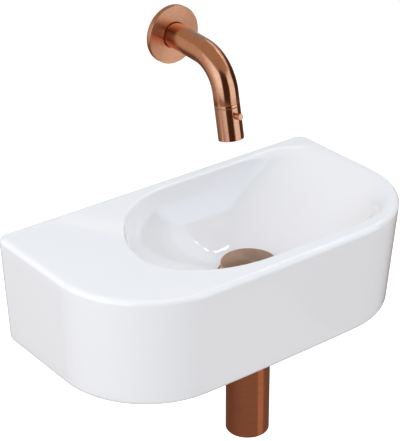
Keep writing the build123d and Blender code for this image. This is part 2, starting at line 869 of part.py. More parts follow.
pieces = [
    basin,
    hanger_bolts,
    fixing_bushes,
    fixing_washers,
    fixing_nuts,
    waste_body,
    waste_top_seal,
    waste_under_seal,
    waste_back_nut,
    plug_cap,
    plug_seal,
    plug_stem,
    plug_cartridge,
    plug_spring,
    trap_inlet_nut,
    trap_inlet_seal,
    trap_dip_tube,
    trap_slip_nut,
    trap_slip_seal,
    trap_head,
    trap_cup,
    trap_cup_gasket,
    trap_outlet_nut,
    trap_outlet_seal,
    trap_outlet_pipe,
    trap_wall_plate,
    tap_rose,
    tap_rose_seal,
    tap_spout,
    tap_wall_nipple,
    tap_wall_seal,
    tap_valve_cartridge,
    tap_fixed_disc,
    tap_turning_disc,
    tap_slip_ring,
    tap_retaining_ring,
    tap_handle_sleeve,
    tap_lever_pin,
    tap_aerator,
    tap_aerator_seal,
]

os.makedirs("parts", exist_ok=True)
for piece in pieces:
    made = piece()
    solids = Compound(made) if isinstance(made, list) else made
    export_step(solids, os.path.join("parts", piece.__name__ + ".step"))
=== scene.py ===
import json
import math

import bmesh
import bpy
import numpy as np
from bpy.props import FloatProperty, FloatVectorProperty, IntProperty, PointerProperty
from mathutils import Matrix, Vector


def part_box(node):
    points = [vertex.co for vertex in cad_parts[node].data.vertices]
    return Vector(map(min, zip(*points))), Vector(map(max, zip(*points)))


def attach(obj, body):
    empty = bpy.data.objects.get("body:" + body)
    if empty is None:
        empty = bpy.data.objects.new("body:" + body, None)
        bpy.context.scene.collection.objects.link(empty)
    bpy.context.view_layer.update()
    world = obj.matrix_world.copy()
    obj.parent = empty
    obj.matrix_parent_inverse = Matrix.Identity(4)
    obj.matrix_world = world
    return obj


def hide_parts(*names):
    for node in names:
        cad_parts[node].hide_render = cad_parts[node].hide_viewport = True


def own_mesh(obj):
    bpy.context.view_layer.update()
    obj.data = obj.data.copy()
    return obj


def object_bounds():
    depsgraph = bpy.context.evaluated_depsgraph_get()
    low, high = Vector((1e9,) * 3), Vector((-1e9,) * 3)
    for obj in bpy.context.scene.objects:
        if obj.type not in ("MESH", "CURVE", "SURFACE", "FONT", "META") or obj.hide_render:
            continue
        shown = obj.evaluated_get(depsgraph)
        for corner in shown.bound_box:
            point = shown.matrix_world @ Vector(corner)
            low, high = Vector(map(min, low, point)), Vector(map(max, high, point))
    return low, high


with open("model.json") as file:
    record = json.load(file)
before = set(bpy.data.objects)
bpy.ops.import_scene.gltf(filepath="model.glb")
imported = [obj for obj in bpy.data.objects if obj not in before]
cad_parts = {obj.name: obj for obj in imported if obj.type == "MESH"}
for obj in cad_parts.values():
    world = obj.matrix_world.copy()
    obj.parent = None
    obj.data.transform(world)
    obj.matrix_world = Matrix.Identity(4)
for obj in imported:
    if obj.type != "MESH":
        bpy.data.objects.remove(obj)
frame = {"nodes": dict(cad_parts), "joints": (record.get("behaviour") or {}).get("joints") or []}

bl_info = {
    "name": "Wall basin with spout and bottle trap",
    "version": (1, 0, 0),
    "blender": (4, 5, 0),
    "location": "View3D > Sidebar > Basin",
    "description": "Makes the ceramic, the copper fittings and a studio for them",
    "category": "Add Mesh",
}

MM = 0.001
CAD_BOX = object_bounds()


def length(name, about, millimetres):
    """A size, given in millimetres and kept in metres."""
    return FloatProperty(name=name, description=about, default=millimetres * MM, unit="LENGTH")


def turn(name, about, degrees):
    """An angle, given in degrees."""
    return FloatProperty(name=name, description=about, default=math.radians(degrees), subtype="ANGLE")


def number(name, about, value):
    """A plain number."""
    return FloatProperty(name=name, description=about, default=value, min=0.0)


def count(name, about, value):
    """A whole number."""
    return IntProperty(name=name, description=about, default=value, min=1)


def colour(name, about, value):
    """A colour, as a material stores it."""
    return FloatVectorProperty(
        name=name, description=about, default=value, size=3, min=0.0, max=1.0, subtype="COLOR"
    )


class CeramicSizes(bpy.types.PropertyGroup):
    """Sizes of the ceramic's outside and deck"""

    width: length("Width", "Along the wall", 400)
    depth: length("Depth", "Out from the wall", 220)
    rim: length("Rim height", "Height of the rim above the wall studs", 78)
    height: length("Height", "From the foot to the rim", 120)
    side_draft: length("Side draft", "How far each side leans in over the height", 5.5)
    front_draft: length("Front draft", "How far the front leans in over the height", 9)
    corner: length("Corner radius", "Radius of the front corners at the rim", 103)
    corner_draft: length("Corner draft", "How much smaller the corners are at the foot", 3)
    bow: length("Front bow radius", "Radius of the slightly bowed front", 4800)
    back_corner: length("Back corner radius", "Radius of the corners at the wall", 12)
    least_corner: length("Least corner radius", "Smallest radius inside a corner", 1)
    rim_edge: length("Rim edge", "Rounding of the outer rim", 5.5)
    foot_edge: length("Foot edge", "Rounding of the outer foot", 7)
    foot_inner_edge: length("Foot inner edge", "Rounding inside the foot", 1.5)
    skin: length("Wall thickness", "Thickness of the ceramic", 10)
    ceiling: length("Ceiling depth", "From the rim to the hollow under the deck", 15)
    hollow_bend: length("Hollow bend", "Rounding where the hollow's walls meet", 5)
    deck_fall: turn("Deck fall", "Slope of the deck towards the bowl", 2.6)
    ledge_depth: length("Ledge depth", "Flat ledge along the wall, at the right end", 21)
    ledge_start: length("Ledge start", "From the left end to the wing of the ledge", 69)
    ledge_over: length("Ledge overrun", "How far past the wall the wing's edge is measured", 5)
    ledge_tip_x: length("Ledge tip across", "Left of the middle", 76)
    ledge_tip_y: length("Ledge tip depth", "Out from the wall", 69)
    ledge_ramp: turn("Ledge ramp", "Slope between the ledge and the deck", 16)
    crease: length("Crease softness", "How softly the ramp runs into the deck", 1.4)
    stud_across: length("Stud across", "Each stud hole's distance from the middle", 140)
    stud_hole: length("Stud hole", "Radius of each stud hole", 6.6)
    around: count("Points around", "Points on each ring of the ceramic", 420)


class BowlSizes(bpy.types.PropertyGroup):
    """Sizes of the bowl and its waste outlet"""

    depth: length("Depth", "From the rim to the floor", 71)
    left: length("Left reach", "Left of the studs' middle", 108)
    right: length("Right reach", "Right of the studs' middle", 186)
    back: length("Back reach", "Out from the wall", 15)
    front: length("Front reach", "Out from the wall", 199)
    back_left: length("Back left curve", "Across the back left quarter", 112)
    front_left: length("Front left curve", "Across the front left quarter", 100)
    back_right: length("Back right curve", "Radius of the back right corner", 60)
    front_right: length("Front right curve", "Radius of the front right corner", 90)
    widest: length("Widest at", "Depth at which the left end reaches furthest", 125)
    steepness: number("Wall steepness", "How long the steep walls stay upright", 2.2)
    rounding: number("Wall rounding", "How the steep walls turn into the floor", 0.8)
    beach: number("Beach rounding", "How the right side rises", 0.9)
    floor: length("Floor radius", "Level floor round the waste", 36)
    floor_straight: length("Floor straight", "Half of each straight edge of the floor", 2)
    edge: length("Edge", "Rounding of the bowl's edge at its steep walls", 3.2)
    soft_edge: length("Soft edge", "Rounding of the bowl's edge on the right", 16)
    waste_x: length("Waste across", "Right of the studs' middle", 33)
    waste_y: length("Waste depth", "Towards the wall", -112)
    hole: length("Waste hole", "Radius of the hole", 23)
    recess: length("Recess radius", "Round the waste's flange", 32.5)
    recess_depth: length("Recess depth", "Below the floor", 4)
    boss: length("Boss radius", "Under the floor", 34)
    boss_wall: length("Boss wall", "Between the recess and the boss's foot", 8)


class FittingSizes(bpy.types.PropertyGroup):
    """Sizes of the plug, the trap and the fixings that the frame's boxes don't give"""

    sides: count("Sides", "Points round a turned piece", 144)
    fine_edge: length("Fine edge", "Rounding of a machined edge", 0.35)
    spring_wire: length("Spring wire", "Radius of the wire", 0.35)
    spring_sides: count("Spring sides", "Points round the wire", 16)
    spring_turns: count("Spring turns", "Turns of the plug's spring", 6)
    plug_travel: length("Plug travel", "How far the plug goes down", 7)
    plug_edge: length("Plug edge", "Height of the plug's straight rim", 3.6)
    plug_edge_round: length("Plug rim rounding", "Rounding round the dome", 1.1)
    plug_spigot: length("Plug spigot", "Radius of the plug's spigot", 14)
    plug_spigot_drop: length("Plug spigot drop", "Below the plug's rim", 2.5)
    waste_bore: length("Waste bore", "Radius of the waste's bore", 18)
    waste_flange: length("Waste flange", "Thickness of the waste's flange", 2.5)
    waste_flange_edge: length("Waste flange edge", "Rounding of the flange's rim", 1)
    waste_seat: length("Waste seat", "Radius of the seat under the plug", 24.5)
    waste_seat_depth: length("Waste seat depth", "From the flange to the bore", 6)
    waste_pitch: length("Waste thread pitch", "Of the waste's thread", 2.309)
    waste_thread_depth: length("Waste thread depth", "Of the waste's thread", 1.4)
    waste_thread_run: length("Waste thread run", "Up from the waste's lower end", 22)
    bridge_drop: length("Bridge drop", "From the flange to the bridge in the waste", 16)
    bridge_height: length("Bridge height", "Of the bridge in the waste", 5)
    bridge_width: length("Bridge width", "Of each bar of the bridge", 4)
    hub: length("Hub radius", "Round the plug's cartridge", 9.6)
    hub_bore: length("Hub bore", "For the plug's cartridge", 7.1)
    pipe: length("Pipe radius", "Outside of the pipes", 16)
    pipe_wall: length("Pipe wall", "Of the pipes", 1.2)
    pipe_gap: length("Pipe gap", "Between a pipe and what it passes through", 0.2)
    thread_gap: length("Thread gap", "Between a nut and its thread", 0.1)
    waste_thread: length("Waste thread", "Radius of the waste's thread", 20.95)
    flange: length("Inlet flange", "Thickness of the inlet pipe's flange", 2)
    nut_lip: length("Nut lip", "Thickness of a nut's inner lip", 2)
    nut_edge: length("Nut edge", "Rounding of a nut's outer edge", 1.1)
    grips: count("Grips", "Grooves round each slip nut", 36)
    grip_depth: length("Grip depth", "Depth of each groove", 0.45)
    bottle_wall: length("Bottle wall", "Thickness of the bottle's wall", 1.6)
    bottle_floor: length("Bottle floor", "Thickness of the cup's floor", 2)
    bottle_edge: length("Bottle edge", "Rounding of the cup's foot", 1.3)
    bottle_top: length("Bottle top", "Thickness of the head's top", 2.5)
    bottle_height: length("Head height", "From the head's foot to its top", 44)
    neck: length("Neck radius", "Radius of the head's neck", 19.5)
    collar: length("Collar radius", "Radius of the cup's collar", 21.85)
    collar_height: length("Collar height", "Above the cup's shoulder", 8.5)
    mark_width: length("Mark width", "Turned in the outlet pipe level with the wall", 1)
    mark_depth: length("Mark depth", "Turned in the outlet pipe level with the wall", 0.3)
    boss: length("Outlet radius", "Radius of the head's outlet", 19)
    socket: length("Socket depth", "How deep the outlet pipe sits", 10)
    plate_lip: length("Wall plate lip", "Width of the wall plate's sloping rim", 3)
    plate_shell: length("Wall plate shell", "Thickness of the wall plate", 1.2)
    stud: length("Stud radius", "In the wall", 5)
    stud_thread: length("Stud thread radius", "In the room", 4)
    stud_in_wall: length("Stud in the wall", "Length", 60)
    stud_point: length("Stud point", "Length of the tapered point", 7)
    wall_pitch: length("Wall thread pitch", "Of the wood thread", 3.6)
    wall_thread: length("Wall thread depth", "Of the wood thread", 1.1)
    metric_pitch: length("Metric pitch", "Of the thread in the room", 1.25)
    metric_thread: length("Metric thread depth", "Of the thread in the room", 0.65)


class SpoutSizes(bpy.types.PropertyGroup):
    """Sizes of the spout and its turning handle"""

    radius: length("Tube radius", "Outside of the spout", 13)
    wall: length("Tube wall", "Thickness of the tube", 1.5)
    level_run: length("Level run", "First run from the wall", 12)
    droop: turn("Droop", "Turn of the first, gentle bend", 4.6)
    droop_radius: length("Droop radius", "Radius of the first bend", 150)
    falling_run: length("Falling run", "Run between the bends", 28)
    bend_radius: length("Bend radius", "Radius of the main bend", 41.3)
    bend: turn("Bend", "Turn of the main bend", 73.9)
    end_run: length("End run", "From the bend to the tip", 47.8)
    seal: length("Wall seal", "Gap at the wall for the seal", 1.5)
    sides: count("Tube sides", "Points round the tube", 128)
    steps: count("Bend steps", "Rings in the main bend", 72)
    rose: length("Rose radius", "Plate on the wall", 30.5)
    rose_depth: length("Rose thickness", "Plate on the wall", 6)
    rose_shell: length("Rose shell", "Thickness of the plate's metal", 2)
    rose_edge: length("Rose edge", "Rounding of the plate's rim", 0.9)
    rose_gap: length("Rose gap", "Between the plate and the spout", 0.3)
    nipple: length("Nipple radius", "Supply thread", 10.48)
    nipple_bore: length("Nipple bore", "Water passage", 7.5)
    nipple_run: length("Nipple run", "Thread in the wall", 20)
    nipple_plug: length("Nipple plug", "Length inside the spout", 12.5)
    nipple_relief: length("Nipple relief", "Below the thread at the wall", 0.4)
    nipple_pitch: length("Nipple pitch", "Of the supply thread", 1.814)
    nipple_thread: length("Nipple thread depth", "Of the supply thread", 1.1)
    handle: length("Handle length", "Turning end of the spout", 33.2)
    handle_edge: length("Handle edge", "Rounding at the handle's ends", 0.6)
    groove_from: length("Groove start", "Above the handle's top seam", 0.3)
    ring: length("Ring height", "Thin ring above the handle", 3)
    ring_edge: length("Ring edge", "Rounding of the thin ring", 0.35)
    stem: length("Stem radius", "Valve stem inside the handle", 9.45)
    web_bore: length("Web bore", "Water passage to the aerator", 6)
    web: length("Web height", "Between the aerator and the valve", 2.5)
    web_above: length("Web place", "Above the tip", 10.5)
    socket: length("Aerator socket", "Radius at the tip", 11)
    groove_above: length("Retainer groove", "Above the tip", 29)
    groove_height: length("Retainer groove height", "Inside the handle", 1.4)
    groove_depth: length("Retainer groove depth", "Inside the handle", 0.8)
    pin_above: length("Pin height", "Above the tip, along the handle", 25)
    pin: length("Pin radius", "Short lever", 3.3)
    pin_length: length("Pin length", "Out from the handle", 7)
    pin_seat: length("Pin seat", "Sunk into the handle", 0.4)
    pin_shank: length("Pin shank", "Radius of its thread", 1.6)
    pin_shank_length: length("Pin shank length", "In the handle's wall", 2.4)
    pin_edge: length("Pin edge", "Rounding of the pin's face", 0.7)
    pin_neck: length("Pin neck", "Waist at the pin's foot", 0.5)
    aerator: length("Aerator radius", "Outside", 10.9)
    aerator_wall: length("Aerator wall", "Thickness of its rim", 1.6)
    aerator_height: length("Aerator height", "Along the handle", 8.6)
    aerator_floor: length("Aerator floor", "Thickness of the lattice", 2)
    aerator_recess: length("Aerator recess", "Behind the tip", 0.4)
    cell: length("Aerator cell", "Spacing of the lattice's openings", 2.2)
    bar: length("Aerator bar", "Width of the lattice's bars", 0.55)
    cells: count("Aerator rows", "Rows of openings across the lattice", 11)


class Finishes(bpy.types.PropertyGroup):
    """Colours and finishes"""

    glaze: colour("Glaze", "White glaze", (0.86, 0.87, 0.905))
    biscuit: colour("Biscuit", "Bare ceramic at the back and foot", (0.74, 0.71, 0.66))
    copper: colour("Copper", "Brushed copper", (0.83, 0.39, 0.23))
    copper_dark: colour("Copper in the brush lines", "Darker lines", (0.70, 0.29, 0.16))
    # Painted shade: the plug's copper is a darker, greyer copy of the copper, painting in the dimmer
    # reflections its dome gets inside the bowl.
    plug: colour("Plug", "Copper of the plug, browner than the rest", (0.58, 0.35, 0.24))
    plug_shaded_dark: colour("Plug in the brush lines", "Darker lines", (0.48, 0.28, 0.185))
    copper_roughness: number("Copper roughness", "Of the brushed finish", 0.15)
    rose_roughness: number("Rose roughness", "Of the plate's spun finish", 0.32)
    brass: colour("Brass", "Plain brass", (0.80, 0.62, 0.30))
    zinc: colour("Zinc", "Plated steel", (0.66, 0.67, 0.68))
    spring: colour("Spring steel", "Plain steel", (0.55, 0.55, 0.56))
    rubber: colour("Rubber", "Seals", (0.025, 0.025, 0.028))
    plastic: colour("Plastic", "White plastic", (0.80, 0.80, 0.78))
    disc: colour("Disc ceramic", "Valve discs", (0.75, 0.72, 0.66))


class StudioSizes(bpy.types.PropertyGroup):
    """Camera, lights and floor"""

    camera_x: length("Camera X", "Along the wall", -849.8)
    camera_y: length("Camera Y", "Towards the wall", -1176.0)
    camera_z: length("Camera Z", "Up", 780.0)
    yaw: turn("Yaw", "Turn from the wall's normal", 37.59)
    pitch: turn("Pitch", "Downwards", 27.32)
    roll: turn("Roll", "About the line of sight", 0.30)
    lens: number("Lens", "Focal length in millimetres on a 36 mm sensor", 124.51)
    floor_drop: length("Floor drop", "Below the lowest piece", 450)
    fill: number("World light", "Level of the even light from all round", 0.80)
    reflected: colour("Reflected light", "Tone of that light in reflections", (0.41, 0.36, 0.29))


MIRRORED = (-1, 1)
ARC_POINTS = 90
LINE_POINTS = 400


def arc(centre, across, along, start, end):
    """Points on part of an ellipse; angles in degrees."""
    angle = np.radians(np.linspace(start, end, ARC_POINTS))
    return np.column_stack([centre[0] + across * np.cos(angle), centre[1] + along * np.sin(angle)])


def line(start, end):
    """Points on a straight line."""
    return np.linspace(start, end, LINE_POINTS)


def body_outline(c, z, inset):
    """Points on the D-shaped plan of the ceramic at a height, set in from the outside."""
    fall = (c.rim - z) / c.height
    half = c.width / 2 - c.side_draft * fall - inset
    front = c.depth - c.front_draft * fall - inset
    corner = c.corner - c.corner_draft * fall - inset
    bow = c.bow - inset
    rear = max(c.back_corner - inset, c.least_corner)
    bow_y = bow - front
    corner_x = half - corner
    corner_y = bow_y - math.sqrt((bow - corner) ** 2 - corner_x**2)
    joint = math.degrees(math.atan2(corner_y - bow_y, corner_x))
    right = np.vstack([
        line((0, -inset), (half - rear, -inset)),
        arc((half - rear, -inset - rear), rear, rear, 90, 0),
        line((half, -inset - rear), (half, corner_y)),
        arc((corner_x, corner_y), corner, corner, 0, joint),
        arc((0, bow_y), bow, bow, joint, -90),
    ])
    return np.vstack([right, right * MIRRORED])


def bowl_outline(b, deep, shell=0.0):
    """Points on the bowl's plan at a share of its depth, grown all round by a shell."""
    steep = (1 - deep**b.steepness) ** b.rounding
    gentle = (1 - deep) ** b.beach
    end = b.floor - b.floor_straight

    def reach(top, part):
        return b.floor + (top - b.floor) * part + shell

    def curve(top, part):
        return end + (top - end) * part + shell

    left = b.waste_x - reach(b.waste_x + b.left, steep)
    right = b.waste_x + reach(b.right - b.waste_x, gentle)
    back = b.waste_y + reach(-b.back - b.waste_y, steep)
    front = b.waste_y - reach(b.front + b.waste_y, steep)
    widest = b.waste_y - (b.widest + b.waste_y) * steep
    back_left, front_left = curve(b.back_left, steep), curve(b.front_left, steep)
    back_right, front_right = curve(b.back_right, gentle), curve(b.front_right, gentle)
    return np.vstack([
        arc((right - back_right, back - back_right), back_right, back_right, 0, 90),
        line((right - back_right, back), (left + back_left, back)),
        arc((left + back_left, widest), back_left, back - widest, 90, 180),
        arc((left + front_left, widest), front_left, widest - front, 180, 270),
        line((left + front_left, front), (right - front_right, front)),
        arc((right - front_right, front + front_right), front_right, front_right, 270, 360),
        line((right, front + front_right), (right, back - back_right)),
    ])


def by_bearing(b, outline):
    """Bearings from the waste and distances of an outline's points, in order."""
    offset = outline - (b.waste_x, b.waste_y)
    bearing = np.arctan2(offset[:, 1], offset[:, 0])
    order = np.argsort(bearing)
    return bearing[order], np.hypot(*offset.T)[order]


def reach_at(b, outline, bearings):
    """Distance from the waste's axis to an outline along each bearing."""
    known, distance = by_bearing(b, outline)
    return np.interp(bearings, known, distance, period=2 * math.pi)


TURN_WEIGHT = 60 * MM


def ring_bearings(c, b):
    """Bearings of the ring points: evenly spaced round the rim, and closer where it turns."""
    known, distance = by_bearing(b, body_outline(c, c.rim, 0))
    points = np.column_stack([distance * np.cos(known), distance * np.sin(known)])
    step = np.roll(points, -1, axis=0) - points
    moved = np.hypot(*step.T)
    heading = np.unwrap(np.arctan2(step[:, 1], step[:, 0]))
    bend = np.abs(np.diff(heading, append=heading[0] + 2 * math.pi))
    weight = np.append(0, np.cumsum(moved + TURN_WEIGHT * np.where(moved > 0, bend, 0)))
    even = np.linspace(0, weight[-1], c.around, endpoint=False)
    return np.interp(even, weight, np.append(known, known[0] + 2 * math.pi))


def beyond(point, start, end):
    """How far points lie on the left of a line, seen along it."""
    along = np.subtract(end, start)
    across = np.array([-along[1], along[0]]) / np.hypot(*along)
    return (point[0] - start[0]) * across[0] + (point[1] - start[1]) * across[1]


def deck_height(c, x, y):
    """Height of the deck: a gentle fall from the rim, and a flat ledge at the wall."""
    lip = c.corner - c.rim_edge
    corner_x, corner_y = c.width / 2 - c.corner, c.corner - c.depth
    out = np.hypot(np.maximum(np.abs(x) - corner_x, 0), np.maximum(corner_y - y, 0))
    falling = c.rim - math.tan(c.deck_fall) * np.maximum(lip - out, 0)
    wing = (c.ledge_start - c.width / 2, c.ledge_over)
    tip = (-c.ledge_tip_x, -c.ledge_tip_y)
    end = (c.width / 2 + c.ledge_over, -c.ledge_depth)
    outside = np.maximum(beyond((x, y), tip, wing), beyond((x, y), end, tip))
    soft = np.sqrt(outside**2 + (c.crease / math.sin(c.ledge_ramp)) ** 2)
    ledge = c.rim - math.tan(c.ledge_ramp) * (outside + soft) / 2
    gap = falling - ledge
    return np.minimum((falling + ledge + np.sqrt(gap**2 + c.crease**2)) / 2, c.rim)


BOWL_LEVELS = 260
LEVEL_SPREAD = 1.6
TINY = 1e-12


def bowl_curve(c, b, bearings, shell=0.0, drop=0.0):
    """Reach and height of the bowl's surface, from its top down, along each bearing."""
    deep = np.linspace(0, 1, BOWL_LEVELS) ** LEVEL_SPREAD
    reach = np.array([reach_at(b, bowl_outline(b, d, shell), bearings) for d in deep])
    height = np.broadcast_to((c.rim - drop - b.depth * deep)[:, None], reach.shape)
    return reach, height


def crossing(above):
    """Where values fall to zero along the first axis, as a row and a share of the next step."""
    row = np.maximum(np.argmax(above <= 0, axis=0), 1)
    column = np.arange(above.shape[1])
    before, after = above[row - 1, column], above[row, column]
    share = np.clip(before / np.maximum(before - after, TINY), 0, 1)
    return row - 1 + share


def read_off(table, place):
    """Values of a table at one fractional row in each of its columns."""
    row = np.minimum(place.astype(int), len(table) - 2)
    column = np.arange(table.shape[1])
    share = place - row
    return table[row, column] * (1 - share) + table[row + 1, column] * share


def evened(reach, height, total):
    """The same curve along each bearing with its points evenly spaced."""
    step = np.hypot(np.diff(reach, axis=0), np.diff(height, axis=0))
    run = np.vstack([np.zeros(reach.shape[1]), np.cumsum(step, axis=0)])
    share = np.linspace(0, 1, total)
    columns = range(reach.shape[1])
    r = [np.interp(share * run[-1, j], run[:, j], reach[:, j]) for j in columns]
    z = [np.interp(share * run[-1, j], run[:, j], height[:, j]) for j in columns]
    return np.transpose(r), np.transpose(z)


def bend(before, corner, after, size, steps):
    """Rings that round a corner between two straight or gently curved stretches."""
    stretch_in, stretch_out = before - corner, after - corner
    long_in = np.linalg.norm(stretch_in, axis=0)
    long_out = np.linalg.norm(stretch_out, axis=0)
    start = corner + stretch_in * np.minimum(size / np.maximum(long_in, TINY), 1)
    end = corner + stretch_out * np.minimum(size / np.maximum(long_out, TINY), 1)
    share = np.linspace(0, 1, steps)[:, None, None]
    return (1 - share) ** 2 * start + 2 * share * (1 - share) * corner + share**2 * end


FINE = 0.8 * MM
SOFT_FROM = 0.55
SOFT_SPAN = 0.42
LIP_SHARE = 0.75
ROOM_SHARE = 0.45
LEAST_BEND = 0.01 * MM
TIGHT_RINGS = 4
BEND_RINGS = 5
RECESS_RINGS = 4
BOWL_RINGS = 50
EDGE_RINGS = 12
DECK_RINGS = 30
QUARTER_RINGS = 10
SKIRT_RINGS = 12
HOLLOW_LEVELS = 40
HOLLOW_RINGS = 8
HOLLOW_SHARE = 0.92
SHELL_RINGS = 36
UNDER_FLOOR = (0.6, 0.25)


def ceramic_profile(c, b):
    """Rings of (reach, height) over the whole ceramic: bowl, deck, outside, foot and hollow."""
    bearings = ring_bearings(c, b)
    flat = np.ones_like(bearings)
    across, along = np.cos(bearings), np.sin(bearings)

    def ring(reach, z):
        return np.array([reach * flat, z * flat])

    def body(z, inset):
        return ring(reach_at(b, body_outline(c, z, inset), bearings), z)

    def deck(reach):
        return deck_height(c, b.waste_x + reach * across, b.waste_y + reach * along)

    floor = c.rim - b.depth
    recess = floor - b.recess_depth
    rings = [ring(b.hole, recess - FINE), ring(b.hole, recess - FINE / 4), ring(b.hole + FINE / 4, recess)]
    rings += [ring(r, recess) for r in np.linspace(b.hole + FINE, b.recess - FINE, RECESS_RINGS)]
    low = ring(b.recess - FINE, recess)
    out = ring(b.recess, floor)
    rings += list(bend(low, ring(b.recess, recess), out, FINE, TIGHT_RINGS))
    rings += list(bend(ring(b.recess, recess), out, ring(b.floor, floor), FINE, BEND_RINGS))

    reach, height = bowl_curve(c, b, bearings)
    top = crossing(height - deck(reach))
    edge_reach, edge_height = read_off(reach, top), read_off(height, top)
    lip = reach_at(b, body_outline(c, c.rim, c.rim_edge), bearings)
    right = np.clip((across - SOFT_FROM) / SOFT_SPAN, 0, 1)
    soft = b.edge + (b.soft_edge - b.edge) * right**2 * (3 - 2 * right)
    outer = edge_reach + np.minimum(soft, LIP_SHARE * (lip - edge_reach))
    rows = np.arange(BOWL_LEVELS)[:, None]
    wall_reach = np.where(rows < top, edge_reach, reach)
    wall_height = np.where(rows < top, edge_height, height)
    run = np.vstack([0 * flat, np.cumsum(
        np.hypot(np.diff(wall_reach, axis=0), np.diff(wall_height, axis=0)), axis=0
    )])
    columns = range(len(flat))
    below = [np.interp(soft[j], run[:, j], wall_reach[:, j]) for j in columns]
    under = [np.interp(soft[j], run[:, j], wall_height[:, j]) for j in columns]
    tangent = np.array([below, under])
    kept = run > soft
    wall_reach = np.where(kept, wall_reach, tangent[0])
    wall_height = np.where(kept, wall_height, tangent[1])
    r, z = evened(wall_reach, wall_height, BOWL_RINGS)
    rings += [np.array(pair) for pair in zip(r[::-1], z[::-1])]

    corner = np.array([edge_reach, edge_height])
    rim_side = np.array([outer, deck(outer)])
    share = np.linspace(0, 1, EDGE_RINGS)[1:, None, None]
    rings += list((1 - share) ** 2 * tangent + 2 * share * (1 - share) * corner + share**2 * rim_side)
    for share in np.linspace(0, 1, DECK_RINGS)[1:]:
        place = outer + (lip - outer) * share
        rings.append(np.array([place, deck(place)]))

    quarter = np.linspace(0, math.pi / 2, QUARTER_RINGS)
    e, f = c.rim_edge, c.foot_edge
    rings += [body(c.rim - e * (1 - math.cos(t)), e * (1 - math.sin(t))) for t in quarter[1:]]
    foot = c.rim - c.height
    rings += [body(z, 0) for z in np.linspace(c.rim - e, foot + f, SKIRT_RINGS)[1:-1]]
    rings += [body(foot + f * (1 - math.sin(t)), f * (1 - math.cos(t))) for t in quarter]
    g = c.foot_inner_edge
    rings.append(body(foot, (f + c.skin - g) / 2))
    rings += [body(foot + g * (1 - math.cos(t)), c.skin - g * (1 - math.sin(t))) for t in quarter[::3]]

    ceiling = c.rim - c.ceiling
    levels = np.linspace(foot + g, ceiling, HOLLOW_LEVELS)
    wall = np.array([reach_at(b, body_outline(c, z, c.skin), bearings) for z in levels])
    shell, shell_z = bowl_curve(c, b, bearings, c.skin, c.skin)
    shell_at = np.array([
        [np.interp(-z, -shell_z[:, j], shell[:, j]) for j in columns] for z in levels
    ])
    gap = wall - shell_at
    meets = np.where(gap[-1] > 0, len(levels) - 1, crossing(gap))
    meet_z = np.interp(meets, np.arange(len(levels)), levels)
    wall_top = np.array([read_off(wall, meets), meet_z])
    shell_top = np.array([np.minimum(read_off(shell_at, meets), wall_top[0]), meet_z])
    wall_foot = body(foot + g, c.skin)
    room = np.maximum(wall_top[0] - shell_top[0], 0)
    turned_in = np.minimum(c.hollow_bend, ROOM_SHARE * room + LEAST_BEND)
    below_shell = shell_z < meet_z
    shell = np.where(below_shell, shell, shell_top[0])
    shell_z = np.where(below_shell, shell_z, meet_z)
    shell_r, shell_h = evened(shell, shell_z, SHELL_RINGS)
    climbs = np.linspace(0, HOLLOW_SHARE, HOLLOW_RINGS)[1:]
    rings += [wall_foot + (wall_top - wall_foot) * climb for climb in climbs]
    rings += list(bend(wall_foot, wall_top, shell_top, turned_in, BEND_RINGS))
    rings.append((wall_top + shell_top) / 2)
    second = np.array([shell_r[2], shell_h[2]])
    rings += list(bend(wall_top, shell_top, second, turned_in, BEND_RINGS))
    rings += [np.array(pair) for pair in zip(shell_r[3:], shell_h[3:])]
    shell_floor = floor - c.skin
    boss_z = recess - b.boss_wall
    boss_top = ring(b.boss, shell_floor)
    boss_foot = ring(b.boss, boss_z)
    rings += [ring(b.boss + (b.floor + c.skin - b.boss) * share, shell_floor) for share in UNDER_FLOOR]
    rings += list(bend(ring(b.boss + FINE, shell_floor), boss_top, boss_foot, FINE, TIGHT_RINGS))
    rings += list(bend(boss_top, boss_foot, ring(b.hole, boss_z), FINE, TIGHT_RINGS))
    rings += [ring(r, boss_z) for r in np.linspace(b.boss - 2 * FINE, b.hole + FINE, RECESS_RINGS)]
    rings += [ring(b.hole + FINE / 4, boss_z), ring(b.hole, boss_z + FINE / 4), ring(b.hole, boss_z + FINE)]
    return bearings, np.array(rings)


def skinned(name, rings, wraps):
    """Mesh over rings of points, with U round the rings and V along them in metres."""
    total, around = rings.shape[:2]
    index = np.arange(total * around).reshape(total, around)
    ahead = np.roll(index, -1, axis=1)
    if wraps:
        quads = np.stack([index, ahead, np.roll(ahead, -1, axis=0), np.roll(index, -1, axis=0)], axis=-1)
    else:
        quads = np.stack([index[:-1], ahead[:-1], ahead[1:], index[1:]], axis=-1)
    step = np.linalg.norm(np.roll(rings, -1, axis=0) - rings, axis=2).mean(axis=1)
    run = np.append(0, np.cumsum(step))
    rows = len(quads)
    u = np.arange(around + 1) / around
    left, right = np.tile(u[:-1], (rows, 1)), np.tile(u[1:], (rows, 1))
    near = np.repeat(run[:rows, None], around, axis=1)
    far = np.repeat(run[1 : rows + 1, None], around, axis=1)
    uv = np.stack([left, near, right, near, right, far, left, far], axis=-1)
    mesh = bpy.data.meshes.new(name)
    mesh.from_pydata(rings.reshape(-1, 3).tolist(), [], quads.reshape(-1, 4).tolist())
    mesh.uv_layers.new(name="UVMap").uv.foreach_set("vector", uv.ravel())
    tidy(mesh)
    return mesh


MERGE = 0.5e-6


def tidy(mesh):
    """Closes seams and poles, points the faces outwards and shades them smooth."""
    form = bmesh.new()
    form.from_mesh(mesh)
    bmesh.ops.remove_doubles(form, verts=form.verts, dist=MERGE)
    bmesh.ops.recalc_face_normals(form, faces=form.faces)
    for face in form.faces:
        face.smooth = True
    form.to_mesh(mesh)
    form.free()


ARC_STEPS = 6
HOLD = 0.12 * MM


